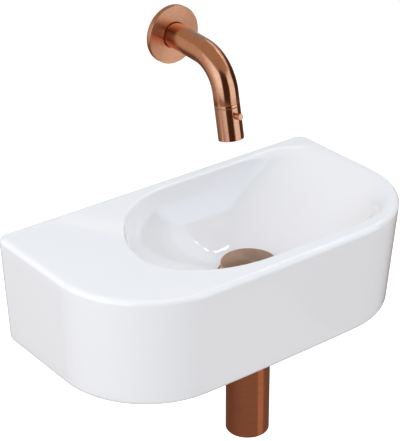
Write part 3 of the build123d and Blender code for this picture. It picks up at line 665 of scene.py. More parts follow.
def rounded(outline, fine):
    """A closed outline of (radius, height, rounding) points, its corners turned into arcs."""
    corners = [Vector(point[:2]) for point in outline]
    points = []
    for i, here in enumerate(corners):
        soft = outline[i][2] if len(outline[i]) > 2 else fine
        if here.x == 0 or soft == 0:
            points.append(here)
            continue
        back, ahead = corners[i - 1] - here, corners[(i + 1) % len(corners)] - here
        half = back.angle(ahead) / 2
        room = ROOM_SHARE * min(back.length, ahead.length)
        cut = min(soft / math.tan(half), room)
        back.normalize()
        ahead.normalize()
        centre = here + (back + ahead).normalized() * cut / math.cos(half)
        start, end = here + back * cut - centre, here + ahead * cut - centre
        hold = min(HOLD, room - cut)
        if hold > MERGE:
            points.append(here + back * (cut + hold))
        radius = start.length
        points += [centre + start.slerp(end, k / ARC_STEPS) * radius for k in range(ARC_STEPS + 1)]
        if hold > MERGE:
            points.append(here + ahead * (cut + hold))
    return points


def turned(name, outline, sides, fine, wave=None):
    """Turned piece about the Z axis. wave changes each ring's radii by bearing and height."""
    points = np.array([tuple(p) for p in rounded(outline, fine)])
    radius, height = points[:, 0], points[:, 1]
    angle = np.linspace(0, 2 * math.pi, sides, endpoint=False)
    reach = np.repeat(radius[:, None], sides, axis=1)
    if wave:
        reach = reach + wave(radius[:, None], height[:, None], angle[None, :])
    level = np.repeat(height[:, None], sides, axis=1)
    rings = np.stack([reach * np.cos(angle), reach * np.sin(angle), level], axis=-1)
    return skinned(name, rings, wraps=radius.min() > 0)


def facing(origin, normal, up=(0, 0, 1)):
    """Placement at a point, with Z along a normal."""
    z = Vector(normal).normalized()
    x = Vector(up).cross(z)
    if x.length < MERGE:
        x = Vector((1, 0, 0))
    x.normalize()
    turn_to = Matrix((x, z.cross(x), z)).transposed().to_4x4()
    return Matrix.Translation(origin) @ turn_to


def middle(node):
    """Middle of a node's box."""
    low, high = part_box(node)
    return (Vector(low) + Vector(high)) / 2


def upright(node):
    """Placement on a node's own upright axis, at height zero, and the node's lowest and highest point."""
    low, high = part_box(node)
    centre = middle(node)
    return Matrix.Translation((centre.x, centre.y, 0)), low[2], high[2]


def half_width(node):
    """Half of a node's size across."""
    low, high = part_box(node)
    return (high[0] - low[0]) / 2


def add(name, mesh, material, body, slot, *nodes):
    """Piece of the object that stands for some nodes and rides on their body."""
    mesh.materials.clear()
    mesh.materials.append(material)
    piece = bpy.data.objects.new(name, mesh)
    bpy.context.scene.collection.objects.link(piece)
    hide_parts(*nodes)
    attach(piece, body)
    return piece


def joined(mesh, *others):
    """One mesh of several, each kept closed."""
    form = bmesh.new()
    for part in (mesh, *others):
        form.from_mesh(part)
    form.to_mesh(mesh)
    form.free()
    return mesh


def evaluated(piece):
    """Mesh of a piece with its modifiers applied."""
    return bpy.data.meshes.new_from_object(piece.evaluated_get(bpy.context.evaluated_depsgraph_get()))


def carved(mesh, tools, operation):
    """A mesh after exact booleans with other meshes."""
    body = bpy.data.objects.new("carving", mesh)
    bpy.context.scene.collection.objects.link(body)
    for tool in tools:
        cutter = bpy.data.objects.new("carving_tool", tool)
        bpy.context.scene.collection.objects.link(cutter)
        step = body.modifiers.new("carve", "BOOLEAN")
        step.operation = operation
        step.solver = "EXACT"
        step.object = cutter
        result = evaluated(body)
        body.modifiers.clear()
        body.data = result
        bpy.data.objects.remove(cutter)
    result = body.data
    bpy.data.objects.remove(body)
    return result


SHARP = math.radians(38)


def shaded_by_angle(mesh):
    """Keeps the edges of carved and threaded meshes crisp where their faces turn sharply."""
    form = bmesh.new()
    form.from_mesh(mesh)
    for face in form.faces:
        face.smooth = True
    for edge in form.edges:
        edge.smooth = len(edge.link_faces) == 2 and edge.calc_face_angle(0) < SHARP
    form.to_mesh(mesh)
    form.free()
    return mesh


def placed(mesh, place):
    """The mesh moved to its place."""
    mesh.transform(place)
    return mesh


def make_node(tree, kind, inputs=(), **settings):
    """Node with its settings, and its inputs as values or as links from other nodes' sockets."""
    node = tree.nodes.new(kind)
    for name, value in settings.items():
        setattr(node, name, value)
    for name, value in dict(inputs).items():
        if isinstance(value, bpy.types.NodeSocket):
            tree.links.new(value, node.inputs[name])
        else:
            node.inputs[name].default_value = value
    return node


def maths(tree, operation, *values):
    """Result of a Math node."""
    return make_node(tree, "ShaderNodeMath", enumerate(values), operation=operation).outputs[0]


def noise(tree, place, scale, detail=3.0):
    """Result of a Noise Texture node."""
    inputs = {"Vector": place, "Scale": scale, "Detail": detail}
    return make_node(tree, "ShaderNodeTexNoise", inputs).outputs["Fac"]


def ranged(tree, value, low, high, to_low=0.0, to_high=1.0):
    """A value taken from one range to another."""
    inputs = {"Value": value, "From Min": low, "From Max": high, "To Min": to_low, "To Max": to_high}
    return make_node(tree, "ShaderNodeMapRange", inputs).outputs[0]


def mixed(tree, share, first, second):
    """Two colours mixed by a share."""
    inputs = {0: share, 6: (*first, 1.0), 7: (*second, 1.0)}
    return make_node(tree, "ShaderNodeMix", inputs, data_type="RGBA").outputs[2]


def bumped(tree, height, metres, strength=1.0):
    """Normal of a surface with small relief."""
    inputs = {"Height": height, "Distance": metres, "Strength": strength}
    return make_node(tree, "ShaderNodeBump", inputs).outputs[0]


def new_material(name, **values):
    """Material with a Principled shader and the values of its sockets."""
    material = bpy.data.materials.new(name)
    material.use_nodes = True
    shader = material.node_tree.nodes["Principled BSDF"]
    for socket, value in values.items():
        shader.inputs[socket.replace("_", " ")].default_value = value
    return material, material.node_tree, shader


def object_place(tree):
    """Object coordinates, in metres."""
    return make_node(tree, "ShaderNodeTexCoord").outputs["Object"]


def connect(tree, shader, **sockets):
    """Links sockets of other nodes to the shader."""
    for name, socket in sockets.items():
        tree.links.new(socket, shader.inputs[name.replace("_", " ")])


def darker(tone, share):
    """A tone at a share of its level."""
    return [part * share for part in tone]


BACK_BARE = 0.6 * MM
FOOT_BARE = 0.5 * MM
BARE_EDGE = 0.1 * MM
RAGGED = 0.6 * MM
GLAZE_WAVES = 0.05 * MM
GLAZE_ROUGHNESS = 0.055
BISCUIT_ROUGHNESS = 0.75


def glaze(name, c, f):
    """White glaze with a faint waviness; the ground back and the foot's rim are bare."""
    material, tree, shader = new_material(name, IOR=1.52, Coat_Weight=0.6, Coat_Roughness=0.04, Coat_IOR=1.5)
    place = object_place(tree)
    x, y, z = make_node(tree, "ShaderNodeSeparateXYZ", {0: place}).outputs
    ragged = maths(tree, "MULTIPLY", noise(tree, place, 300.0), RAGGED)
    back = ranged(tree, maths(tree, "SUBTRACT", y, ragged), -BACK_BARE, -BACK_BARE + BARE_EDGE)
    low = c.rim - c.height + FOOT_BARE
    foot = ranged(tree, maths(tree, "SUBTRACT", z, ragged), low, low - BARE_EDGE)
    bare = maths(tree, "MAXIMUM", back, foot)
    grains = noise(tree, place, 2400.0)
    waves = maths(tree, "ADD", noise(tree, place, 26.0, 1.0), maths(tree, "MULTIPLY", grains, bare))
    tint = ranged(tree, noise(tree, place, 9.0, 2.0), 0.3, 0.7, 0.0, 0.12)
    shaded = mixed(tree, tint, f.glaze, darker(f.glaze, 0.97))
    coloured = make_node(tree, "ShaderNodeMix", {0: bare, 6: shaded, 7: (*f.biscuit, 1.0)}, data_type="RGBA")
    connect(
        tree, shader, Base_Color=coloured.outputs[2], Normal=bumped(tree, waves, GLAZE_WAVES, 0.6),
        Roughness=ranged(tree, bare, 0, 1, GLAZE_ROUGHNESS, BISCUIT_ROUGHNESS),
    )
    return material


BRUSH_AROUND = 2.6
BRUSH_ALONG = 2600.0
BRUSH_RELIEF = 0.0007 * MM


def brushed_copper(name, bright, dark, roughness):
    """Copper brushed round the piece: fine lines along U, and a highlight drawn out across them."""
    material, tree, shader = new_material(name, Metallic=1.0, Anisotropic=0.8, Anisotropic_Rotation=0.25)
    uv = make_node(tree, "ShaderNodeUVMap", uv_map="UVMap").outputs[0]
    u, v, w = make_node(tree, "ShaderNodeSeparateXYZ", {0: uv}).outputs
    angle = maths(tree, "MULTIPLY", u, 2 * math.pi)
    x = maths(tree, "MULTIPLY", maths(tree, "COSINE", angle), BRUSH_AROUND)
    y = maths(tree, "MULTIPLY", maths(tree, "SINE", angle), BRUSH_AROUND)
    z = maths(tree, "MULTIPLY", v, BRUSH_ALONG)
    place = make_node(tree, "ShaderNodeCombineXYZ", {0: x, 1: y, 2: z}).outputs[0]
    lines = noise(tree, place, 1.0, 4.0)
    patches = noise(tree, object_place(tree), 45.0, 2.0)
    colour_share = ranged(tree, lines, 0.35, 0.7)
    rough = maths(tree, "ADD", ranged(tree, lines, 0.3, 0.7, -0.03, 0.03), roughness)
    rough = maths(tree, "ADD", rough, ranged(tree, patches, 0.3, 0.7, -0.01, 0.01))
    tangent = make_node(tree, "ShaderNodeTangent", direction_type="UV_MAP", uv_map="UVMap").outputs[0]
    connect(
        tree, shader, Base_Color=mixed(tree, colour_share, bright, dark), Roughness=rough,
        Tangent=tangent, Normal=bumped(tree, lines, BRUSH_RELIEF, 0.5),
    )
    return material


GRAIN_RELIEF = 0.006 * MM


def plain_metal(name, base, dark, roughness, scale):
    """Metal with a fine even grain, for what is mostly hidden."""
    material, tree, shader = new_material(name, Metallic=1.0)
    place = object_place(tree)
    grain = noise(tree, place, scale, 4.0)
    connect(
        tree, shader, Base_Color=mixed(tree, ranged(tree, grain, 0.35, 0.7), base, dark),
        Roughness=ranged(tree, grain, 0.3, 0.7, roughness * 0.8, roughness * 1.3),
        Normal=bumped(tree, grain, GRAIN_RELIEF, 0.6),
    )
    return material


def moulded(name, base, roughness, scale, relief):
    """Rubber, plastic or fired ceramic with a fine moulded grain."""
    material, tree, shader = new_material(name)
    place = object_place(tree)
    grain = noise(tree, place, scale, 4.0)
    share = ranged(tree, noise(tree, place, scale / 20, 2.0), 0.3, 0.7)
    connect(
        tree, shader, Base_Color=mixed(tree, share, base, darker(base, 0.88)),
        Roughness=ranged(tree, grain, 0.3, 0.7, roughness * 0.9, roughness * 1.1),
        Normal=bumped(tree, grain, relief * MM, 0.5),
    )
    return material


def finish(kind):
    """One of the finishes, made once, in a material whose name isn't one of the frame's own."""
    name = f"{kind}_finish"
    made = bpy.data.materials.get(name)
    if made:
        return made
    f = bpy.context.scene.basin_finishes
    makers = {
        "glaze": lambda: glaze(name, bpy.context.scene.basin_ceramic, f),
        "brushed_copper": lambda: brushed_copper(name, f.copper, f.copper_dark, f.copper_roughness),
        "spun_copper": lambda: brushed_copper(name, f.copper, f.copper_dark, f.rose_roughness),
        # Painted shade: the plug's darker copper stands in for the dimmer reflections of its dome inside the
        # bowl.
        "plug_shaded_copper": lambda: brushed_copper(name, f.plug, f.plug_shaded_dark, f.rose_roughness),
        "raw_brass": lambda: plain_metal(name, f.brass, darker(f.brass, 0.8), 0.3, 1500.0),
        "zinc_plate": lambda: plain_metal(name, f.zinc, darker(f.zinc, 0.82), 0.34, 1200.0),
        "spring_steel": lambda: plain_metal(name, f.spring, darker(f.spring, 0.8), 0.3, 2500.0),
        "black_rubber": lambda: moulded(name, f.rubber, 0.7, 1800.0, 0.02),
        "white_plastic": lambda: moulded(name, f.plastic, 0.35, 1500.0, 0.008),
        "valve_ceramic": lambda: moulded(name, f.disc, 0.45, 2600.0, 0.01),
    }
    return makers[kind]()


class GeometryTree:
    """A Geometry Nodes tree under construction, with named inputs for its sizes."""

    def __init__(self, name):
        self.tree = bpy.data.node_groups.new(name, "GeometryNodeTree")
        self.tree.is_modifier = True
        self.tree.interface.new_socket("Geometry", in_out="INPUT", socket_type="NodeSocketGeometry")
        self.tree.interface.new_socket("Geometry", in_out="OUTPUT", socket_type="NodeSocketGeometry")
        self.enter = self.tree.nodes.new("NodeGroupInput")
        self.leave = self.tree.nodes.new("NodeGroupOutput")

    def input(self, name, kind="NodeSocketFloat"):
        """Socket of a new named input."""
        self.tree.interface.new_socket(name, in_out="INPUT", socket_type=kind)
        return self.enter.outputs[name]

    def node(self, kind, inputs=(), **settings):
        """First output of a new node."""
        return make_node(self.tree, kind, inputs, **settings).outputs[0]

    def maths(self, operation, *values):
        """Result of a Math node."""
        return maths(self.tree, operation, *values)

    def finish(self, geometry):
        """Ends the tree in real geometry with its material."""
        material = self.input("Material", "NodeSocketMaterial")
        real = self.node("GeometryNodeRealizeInstances", {0: geometry})
        coated = self.node("GeometryNodeSetMaterial", {"Geometry": real, "Material": material})
        self.tree.links.new(coated, self.leave.inputs[0])
        return self.tree


def grown(mesh, tree, material, **sizes):
    """Plain mesh of what a tree makes from a mesh, its sizes given by the names of the inputs."""
    carrier = bpy.data.objects.new("growing", mesh)
    bpy.context.scene.collection.objects.link(carrier)
    step = carrier.modifiers.new("grow", "NODES")
    step.node_group = tree
    values = {name.replace("_", " "): value for name, value in sizes.items()} | {"Material": material}
    for socket in tree.interface.items_tree:
        if socket.in_out == "INPUT" and socket.name in values:
            step[socket.identifier] = values[socket.name]
    result = evaluated(carrier)
    carrier.modifiers.clear()
    bpy.data.objects.remove(carrier)
    return result


def tube_tree():
    """Tube along a path of edges, with U round it and V along it."""
    t = GeometryTree("bent_tube")
    path = t.node("GeometryNodeMeshToCurve", {0: t.enter.outputs["Geometry"]})
    run = make_node(t.tree, "GeometryNodeSplineParameter").outputs["Length"]
    along = t.tree.nodes.new("GeometryNodeCaptureAttribute")
    along.capture_items.new("FLOAT", "Run")
    t.tree.links.new(path, along.inputs["Geometry"])
    t.tree.links.new(run, along.inputs["Run"])
    round_inputs = {"Resolution": t.input("Sides", "NodeSocketInt"), "Radius": t.input("Radius")}
    hoop = t.node("GeometryNodeCurveArc", round_inputs | {"Start Angle": 0.0, "Sweep Angle": 2 * math.pi})
    share = make_node(t.tree, "GeometryNodeSplineParameter").outputs["Factor"]
    about = t.tree.nodes.new("GeometryNodeCaptureAttribute")
    about.capture_items.new("FLOAT", "Share")
    t.tree.links.new(hoop, about.inputs["Geometry"])
    t.tree.links.new(share, about.inputs["Share"])
    tube = t.node(
        "GeometryNodeCurveToMesh",
        {"Curve": along.outputs["Geometry"], "Profile Curve": about.outputs["Geometry"]},
    )
    uv = t.node("ShaderNodeCombineXYZ", {0: about.outputs["Share"], 1: along.outputs["Run"]})
    marked = t.node(
        "GeometryNodeStoreNamedAttribute", {"Geometry": tube, "Name": "UVMap", "Value": uv},
        data_type="FLOAT2", domain="CORNER",
    )
    closed = t.node("GeometryNodeMergeByDistance", {"Geometry": marked, "Distance": MERGE})
    return t.finish(closed)


FLAT_ROOT = 1.25
WHOLE_TURNS = 100.0


def thread_tree():
    """Screw thread cut into the outside of a piece about the Z axis, between two heights."""
    t = GeometryTree("screw_thread")
    pitch, depth, bore = t.input("Pitch"), t.input("Depth"), t.input("Bore")
    low, high = t.input("From"), t.input("To")
    place = t.node("GeometryNodeInputPosition")
    x, y, z = make_node(t.tree, "ShaderNodeSeparateXYZ", {0: place}).outputs
    share = t.maths("DIVIDE", t.maths("ARCTAN2", y, x), 2 * math.pi)
    turns = t.maths("SUBTRACT", t.maths("DIVIDE", z, pitch), share)
    phase = t.maths("FRACT", t.maths("ADD", turns, WHOLE_TURNS))
    groove = t.maths("ABSOLUTE", t.maths("SUBTRACT", t.maths("MULTIPLY", phase, 2.0), 1.0))
    groove = t.maths("MINIMUM", t.maths("MULTIPLY", groove, FLAT_ROOT), 1.0)
    start = make_node(t.tree, "ShaderNodeClamp", {0: t.maths("DIVIDE", t.maths("SUBTRACT", z, low), pitch)})
    end = make_node(t.tree, "ShaderNodeClamp", {0: t.maths("DIVIDE", t.maths("SUBTRACT", high, z), pitch)})
    fade = t.maths("MULTIPLY", start.outputs[0], end.outputs[0])
    radius = t.maths("SQRT", t.maths("ADD", t.maths("MULTIPLY", x, x), t.maths("MULTIPLY", y, y)))
    outside = t.maths("GREATER_THAN", radius, bore)
    cut = t.maths("MULTIPLY", t.maths("MULTIPLY", groove, fade), t.maths("MULTIPLY", depth, outside))
    shrink = t.maths("DIVIDE", cut, t.maths("MAXIMUM", radius, MERGE))
    flat = t.node("ShaderNodeCombineXYZ", {0: x, 1: y})
    inward = t.node(
        "ShaderNodeVectorMath", {0: flat, "Scale": t.maths("MULTIPLY", shrink, -1.0)}, operation="SCALE"
    )
    moved = t.node("GeometryNodeSetPosition", {"Geometry": t.enter.outputs["Geometry"], "Offset": inward})
    return t.finish(moved)


HEX_ROW = math.sqrt(3) / 2
HOLE_SIDES = 16


def lattice_tree():
    """Openings in rows through a disc about the Z axis."""
    t = GeometryTree("perforated_disc")
    spacing, hole, reach = t.input("Spacing"), t.input("Hole"), t.input("Reach")
    depth, rows = t.input("Depth"), t.input("Rows", "NodeSocketInt")
    size = t.maths("MULTIPLY", spacing, t.maths("SUBTRACT", rows, 1.0))
    grid = t.node("GeometryNodeMeshGrid", {
        "Size X": size, "Size Y": t.maths("MULTIPLY", size, HEX_ROW), "Vertices X": rows, "Vertices Y": rows,
    })
    place = t.node("GeometryNodeInputPosition")
    x, y, z = make_node(t.tree, "ShaderNodeSeparateXYZ", {0: place}).outputs
    row = t.maths("ROUND", t.maths("DIVIDE", y, t.maths("MULTIPLY", spacing, HEX_ROW)))
    aside = t.maths("MULTIPLY", t.maths("FLOORED_MODULO", row, 2.0), t.maths("MULTIPLY", spacing, 0.5))
    shift = t.node("ShaderNodeCombineXYZ", {0: aside})
    points = t.node("GeometryNodeSetPosition", {"Geometry": grid, "Offset": shift})
    moved = t.node("GeometryNodeInputPosition")
    far = make_node(t.tree, "ShaderNodeVectorMath", {0: moved}, operation="LENGTH").outputs["Value"]
    kept = t.node(
        "GeometryNodeDeleteGeometry", {"Geometry": points, "Selection": t.maths("GREATER_THAN", far, reach)},
        domain="POINT",
    )
    pin = t.node("GeometryNodeMeshCylinder", {"Vertices": HOLE_SIDES, "Radius": hole, "Depth": depth})
    pins = t.node("GeometryNodeInstanceOnPoints", {"Points": kept, "Instance": pin})
    tools = t.node("GeometryNodeRealizeInstances", {0: pins})
    cut = make_node(t.tree, "GeometryNodeMeshBoolean", operation="DIFFERENCE", solver="EXACT")
    t.tree.links.new(t.enter.outputs["Geometry"], cut.inputs["Mesh 1"])
    t.tree.links.new(tools, cut.inputs["Mesh 2"])
    return t.finish(cut.outputs["Mesh"])


def node_tree(maker):
    """The tree of a maker, made once."""
    made = [tree for tree in bpy.data.node_groups if tree.get("maker") == maker.__name__]
    if made:
        return made[0]
    tree = maker()
    tree["maker"] = maker.__name__
    return tree


def straight(radius, start, end, steps):
    """Points up a straight wall, none of them rounded."""
    return [(radius, start + (end - start) * k / steps, 0) for k in range(steps + 1)]


def rod(name, radius, start, end, sides):
    """Plain cylinder about the Z axis."""
    return turned(name, [(0, start), (radius, start, 0), (radius, end, 0), (0, end)], sides, 0)


def block(name, size, centre):
    """Plain block."""
    form = bmesh.new()
    bmesh.ops.create_cube(form, matrix=Matrix.Translation(centre) @ Matrix.Diagonal((*size, 1)))
    mesh = bpy.data.meshes.new(name)
    form.to_mesh(mesh)
    form.free()
    mesh.uv_layers.new(name="UVMap")
    return mesh


def joint_place(name):
    """Placement at a joint, with Z along its axis."""
    joint = next(j for j in frame["joints"] if j["name"] == name)
    return facing(joint["pos_m"], joint["axis"], up=(1, 0, 0))


def against_wall(node, inward=False):
    """Placement on the wall at the middle of a node, with Z out into the room, or into the wall."""
    centre = middle(node)
    return facing((centre.x, 0, centre.z), (0, 1, 0) if inward else (0, -1, 0))


DRILL_SIDES = 64


def ceramic(c, b):
    """The ceramic with its two stud holes."""
    bearings, rings = ceramic_profile(c, b)
    reach, height = rings[:, 0], rings[:, 1]
    x, y = b.waste_x + reach * np.cos(bearings), b.waste_y + reach * np.sin(bearings)
    mesh = skinned("ceramic", np.stack([x, y, height], axis=-1), wraps=True)
    drills = []
    for side in MIRRORED:
        drill = rod("drill", c.stud_hole, -c.skin, 2 * c.skin, DRILL_SIDES)
        drills.append(placed(drill, facing((side * c.stud_across, 0, 0), (0, -1, 0))))
    return shaded_by_angle(carved(mesh, [joined(*drills)], "DIFFERENCE"))


DOME_RINGS = 40


def plug_dome(f):
    """Domed plug with its spigot."""
    place, low, high = upright("plug_cap")
    wide = half_width("plug_cap")
    base = low + f.plug_spigot_drop
    edge = base + f.plug_edge
    crown = high - edge
    bow = (wide**2 + crown**2) / (2 * crown)
    reach = [wide * k / DOME_RINGS for k in range(1, DOME_RINGS)]
    outline = [(0, high)] + [(r, high - bow + math.sqrt(bow**2 - r**2), 0) for r in reach]
    outline += [(wide, edge, f.plug_edge_round), (wide, base), (f.plug_spigot, base)]
    outline += [(f.plug_spigot, low), (0, low)]
    return placed(turned("plug_dome", outline, f.sides, f.fine_edge), place)


COIL_STEPS = 32


def valve_spring(f):
    """Coil spring that raises the plug, with its wire's ends closed."""
    place, low, high = upright("plug_spring")
    coil, rise = half_width("plug_spring") - f.spring_wire, high - low - 2 * f.spring_wire
    steps = f.spring_turns * COIL_STEPS
    points = []
    for step in range(steps + 1):
        angle = 2 * math.pi * step / COIL_STEPS
        height = low + f.spring_wire + rise * step / steps
        points.append((coil * math.cos(angle), coil * math.sin(angle), height))
    path = bpy.data.meshes.new("spring_path")
    path.from_pydata(points, [(k, k + 1) for k in range(steps)], [])
    sides, radius = f.spring_sides + 1, f.spring_wire
    wire = grown(path, node_tree(tube_tree), finish("spring_steel"), Sides=sides, Radius=radius)
    form = bmesh.new()
    form.from_mesh(wire)
    bmesh.ops.holes_fill(form, edges=[edge for edge in form.edges if edge.is_boundary])
    bmesh.ops.recalc_face_normals(form, faces=form.faces)
    form.to_mesh(wire)
    form.free()
    return shaded_by_angle(placed(wire, place))


THREAD_RINGS = 10


def threaded(mesh, pitch, depth, bore, low, high):
    """A turned mesh with a screw thread outside its bore, between two heights."""
    sizes = {"Pitch": pitch, "Depth": depth, "Bore": bore, "From": low, "To": high}
    return grown(mesh, node_tree(thread_tree), finish("raw_brass"), **sizes)


def waste_outlet(f):
    """Waste outlet with its thread and the bridge inside."""
    place, low, high = upright("waste_body")
    rim, thread, bore = half_width("waste_body"), f.waste_thread, f.waste_bore
    under = high - f.waste_flange
    turns = math.ceil(f.waste_thread_run / f.waste_pitch)
    outline = [(bore, low)] + straight(thread, low, low + f.waste_thread_run, turns * THREAD_RINGS)
    outline += [(thread, under), (rim, under), (rim, high, f.waste_flange_edge), (f.waste_seat, high)]
    outline += [(bore, high - f.waste_seat_depth)]
    tube = turned("waste_outlet", outline, f.sides, f.fine_edge)
    tube = threaded(tube, f.waste_pitch, f.waste_thread_depth, bore + MM, low, low + f.waste_thread_run)
    middle_z = high - f.bridge_drop - f.bridge_height / 2
    span = 2 * thread - 2 * MM
    bars = [
        block("bar", (span, f.bridge_width, f.bridge_height), (0, 0, middle_z)),
        block("bar", (f.bridge_width, span, f.bridge_height), (0, 0, middle_z)),
    ]
    hub = rod("hub", f.hub, middle_z - f.bridge_height / 2, middle_z + f.bridge_height / 2, DRILL_SIDES)
    bridge = carved(bars[0], [bars[1], hub], "UNION")
    drill = rod("drill", f.hub_bore, middle_z - f.bridge_height, middle_z + f.bridge_height, DRILL_SIDES)
    bridge = carved(bridge, [drill], "DIFFERENCE")
    return placed(shaded_by_angle(carved(tube, [bridge], "UNION")), place)


GRIP_START = 0.3
GRIP_RUN_OUT = 1.6 * MM
GRIP_RINGS = 12
GRIP_SIDES = 8


def grips(f, inside, low, high):
    """Change in radius that cuts grooves round the outside of a nut, running out before its ends."""
    def wave(radius, height, angle):
        groove = np.clip((np.cos(angle * f.grips) - GRIP_START) / (1 - GRIP_START), 0, 1)
        ends = np.clip(np.minimum(height - low, high - height) / GRIP_RUN_OUT - 1, 0, 1)
        return -f.grip_depth * groove * ends * (radius > inside)

    return wave


def slip_nut(name, f, node, bore, lip_end, low, high):
    """Round nut with grips outside and a lip at one end, about the Z axis."""
    outer = half_width(node)
    lip = f.pipe + f.pipe_gap
    side = straight(outer, low + GRIP_RUN_OUT, high - GRIP_RUN_OUT, GRIP_RINGS)
    if lip_end == "low":
        outline = [(lip, low), (outer, low, f.nut_edge)] + side + [(outer, high), (bore, high)]
        outline += [(bore, low + f.nut_lip), (lip, low + f.nut_lip)]
    else:
        outline = [(bore, low), (outer, low)] + side + [(outer, high, f.nut_edge), (lip, high)]
        outline += [(lip, high - f.nut_lip), (bore, high - f.nut_lip)]
    return turned(name, outline, f.grips * GRIP_SIDES, f.fine_edge, grips(f, (bore + outer) / 2, low, high))


def inlet_nut(f):
    """Nut under the waste outlet."""
    place, low, high = upright("trap_inlet_nut")
    bore = f.waste_thread + f.thread_gap
    return placed(slip_nut("inlet_nut", f, "trap_inlet_nut", bore, "low", low, high), place)


def neck_nut(f):
    """Nut on the neck of the bottle."""
    place, low, high = upright("trap_slip_nut")
    bore = f.neck + f.thread_gap
    return placed(slip_nut("neck_nut", f, "trap_slip_nut", bore, "high", low, high), place)


def outlet_nut(f):
    """Nut on the outlet of the bottle."""
    low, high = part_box("trap_outlet_nut")
    bore = f.boss + f.thread_gap
    nut = slip_nut("outlet_nut", f, "trap_outlet_nut", bore, "high", low[1], high[1])
    return placed(nut, against_wall("trap_outlet_nut", inward=True))


def dip_tube(f):
    """Inlet pipe with its flange."""
    place, low, high = upright("trap_dip_tube")
    inner, rim = f.pipe - f.pipe_wall, half_width("trap_dip_tube")
    outline = [(inner, low), (f.pipe, low), (f.pipe, high - f.flange), (rim, high - f.flange)]
    return placed(turned("dip_tube", outline + [(rim, high), (inner, high)], f.sides, f.fine_edge), place)


def outlet_tube(f):
    """Outlet pipe with the mark turned in it."""
    low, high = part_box("trap_outlet_pipe")
    inner, mark = f.pipe - f.pipe_wall, f.pipe - f.mark_depth
    outline = [(inner, low[1]), (f.pipe, low[1]), (f.pipe, -f.mark_width), (mark, -f.mark_width, 0)]
    outline += [(mark, 0, 0), (f.pipe, 0), (f.pipe, high[1]), (inner, high[1])]
    tube = turned("outlet_tube", outline, f.sides, f.fine_edge / 2)
    return placed(tube, against_wall("trap_outlet_pipe", inward=True))


def bottle_head(f):
    """Head of the bottle with its neck and outlet."""
    place = upright("trap_cup")[0]
    (_, _, low), (_, end, high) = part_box("trap_head")
    wide = half_width("trap_head")
    top = low + f.bottle_height
    shoulder = [(wide, low), (wide, top, f.bottle_edge), (f.neck, top), (f.neck, high), (0, high)]
    body = placed(turned("bottle_head", [(0, low)] + shoulder, f.sides, f.fine_edge), place)
    inner, bore = wide - f.bottle_wall, f.pipe + f.pipe_gap
    space = [(0, low - MM), (inner, low - MM, 0), (inner, top - f.bottle_top, f.bottle_edge)]
    space += [(bore, top - f.bottle_top, 0), (bore, high + MM, 0), (0, high + MM)]
    space = placed(turned("space", space, f.sides, f.fine_edge), place)
    centre = place.to_translation()
    out = facing((centre.x, 0, (low + top) / 2), (0, 1, 0))
    face = [(0, centre.y), (f.boss, centre.y, 0), (f.boss, end), (0, end)]
    boss = placed(turned("boss", face, f.sides, f.fine_edge), out)
    passage = [(0, centre.y), (f.pipe - f.pipe_wall, centre.y, 0), (f.pipe - f.pipe_wall, end - f.socket, 0)]
    passage += [(bore, end - f.socket, 0), (bore, end + MM, 0), (0, end + MM)]
    passage = placed(turned("passage", passage, f.sides, 0), out)
    whole = carved(body, [boss], "UNION")
    return shaded_by_angle(carved(whole, [space, passage], "DIFFERENCE"))


def bottle_cup(f):
    """Cup of the bottle with the collar that screws into the head."""
    place, low, high = upright("trap_cup")
    wide = half_width("trap_cup")
    inner, collar = wide - f.bottle_wall, f.collar - f.bottle_wall
    shoulder, floor = high - f.collar_height, low + f.bottle_floor
    outline = [(0, low), (wide, low, f.bottle_edge), (wide, shoulder), (f.collar, shoulder), (f.collar, high)]
    outline += [(collar, high), (collar, shoulder - f.bottle_floor)]
    outline += [(inner, shoulder - f.bottle_floor - f.bottle_wall), (inner, floor, f.bottle_edge), (0, floor)]
    return placed(turned("bottle_cup", outline, f.sides, f.fine_edge), place)


def wall_plate(f):
    """Thin cover round the outlet pipe at the wall."""
    low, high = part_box("trap_wall_plate")
    deep, wide, hole = -low[1], half_width("trap_wall_plate"), f.pipe + f.pipe_gap
    shell, top = f.plate_shell, wide - f.plate_lip
    outline = [(wide - shell, 0), (wide, 0), (wide, shell, f.nut_edge), (top, deep, f.nut_edge), (hole, deep)]
    outline += [(hole, deep - shell), (top - shell, deep - shell), (wide - shell, shell)]
    return placed(turned("wall_plate", outline, f.sides, f.fine_edge), against_wall("trap_wall_plate"))


def rose(s, f):
    """Plate round the spout at the wall."""
    hole, ceiling = s.radius + s.rose_gap, s.rose_depth - s.rose_shell
    outline = [(s.rose - s.rose_shell, 0), (s.rose, 0), (s.rose, s.rose_depth, s.rose_edge)]
    outline += [(hole, s.rose_depth, s.rose_edge), (hole, ceiling), (s.rose - s.rose_shell, ceiling)]
    return placed(turned("rose", outline, f.sides * 2, f.fine_edge), against_wall("tap_rose"))


def spout_path(s):
    """Points along the middle of the spout, as distances out from the wall and up."""
    points, heading = [Vector((s.seal, 0)), Vector((s.level_run, 0))], 0.0

    def curve(radius, angle, steps):
        nonlocal heading
        centre = points[-1] + radius * Vector((-math.sin(heading), -math.cos(heading)))
        for step in range(1, steps + 1):
            turned_to = heading + angle * step / steps
            points.append(centre + radius * Vector((math.sin(turned_to), math.cos(turned_to))))
        heading += angle

    def run(distance):
        points.append(points[-1] + distance * Vector((math.cos(heading), -math.sin(heading))))

    curve(s.droop_radius, s.droop, s.steps // 6)
    run(s.falling_run)
    curve(s.bend_radius, s.bend, s.steps)
    run(s.end_run - s.handle - s.groove_from - s.ring)
    return points


END_ANGLE = math.radians(60)


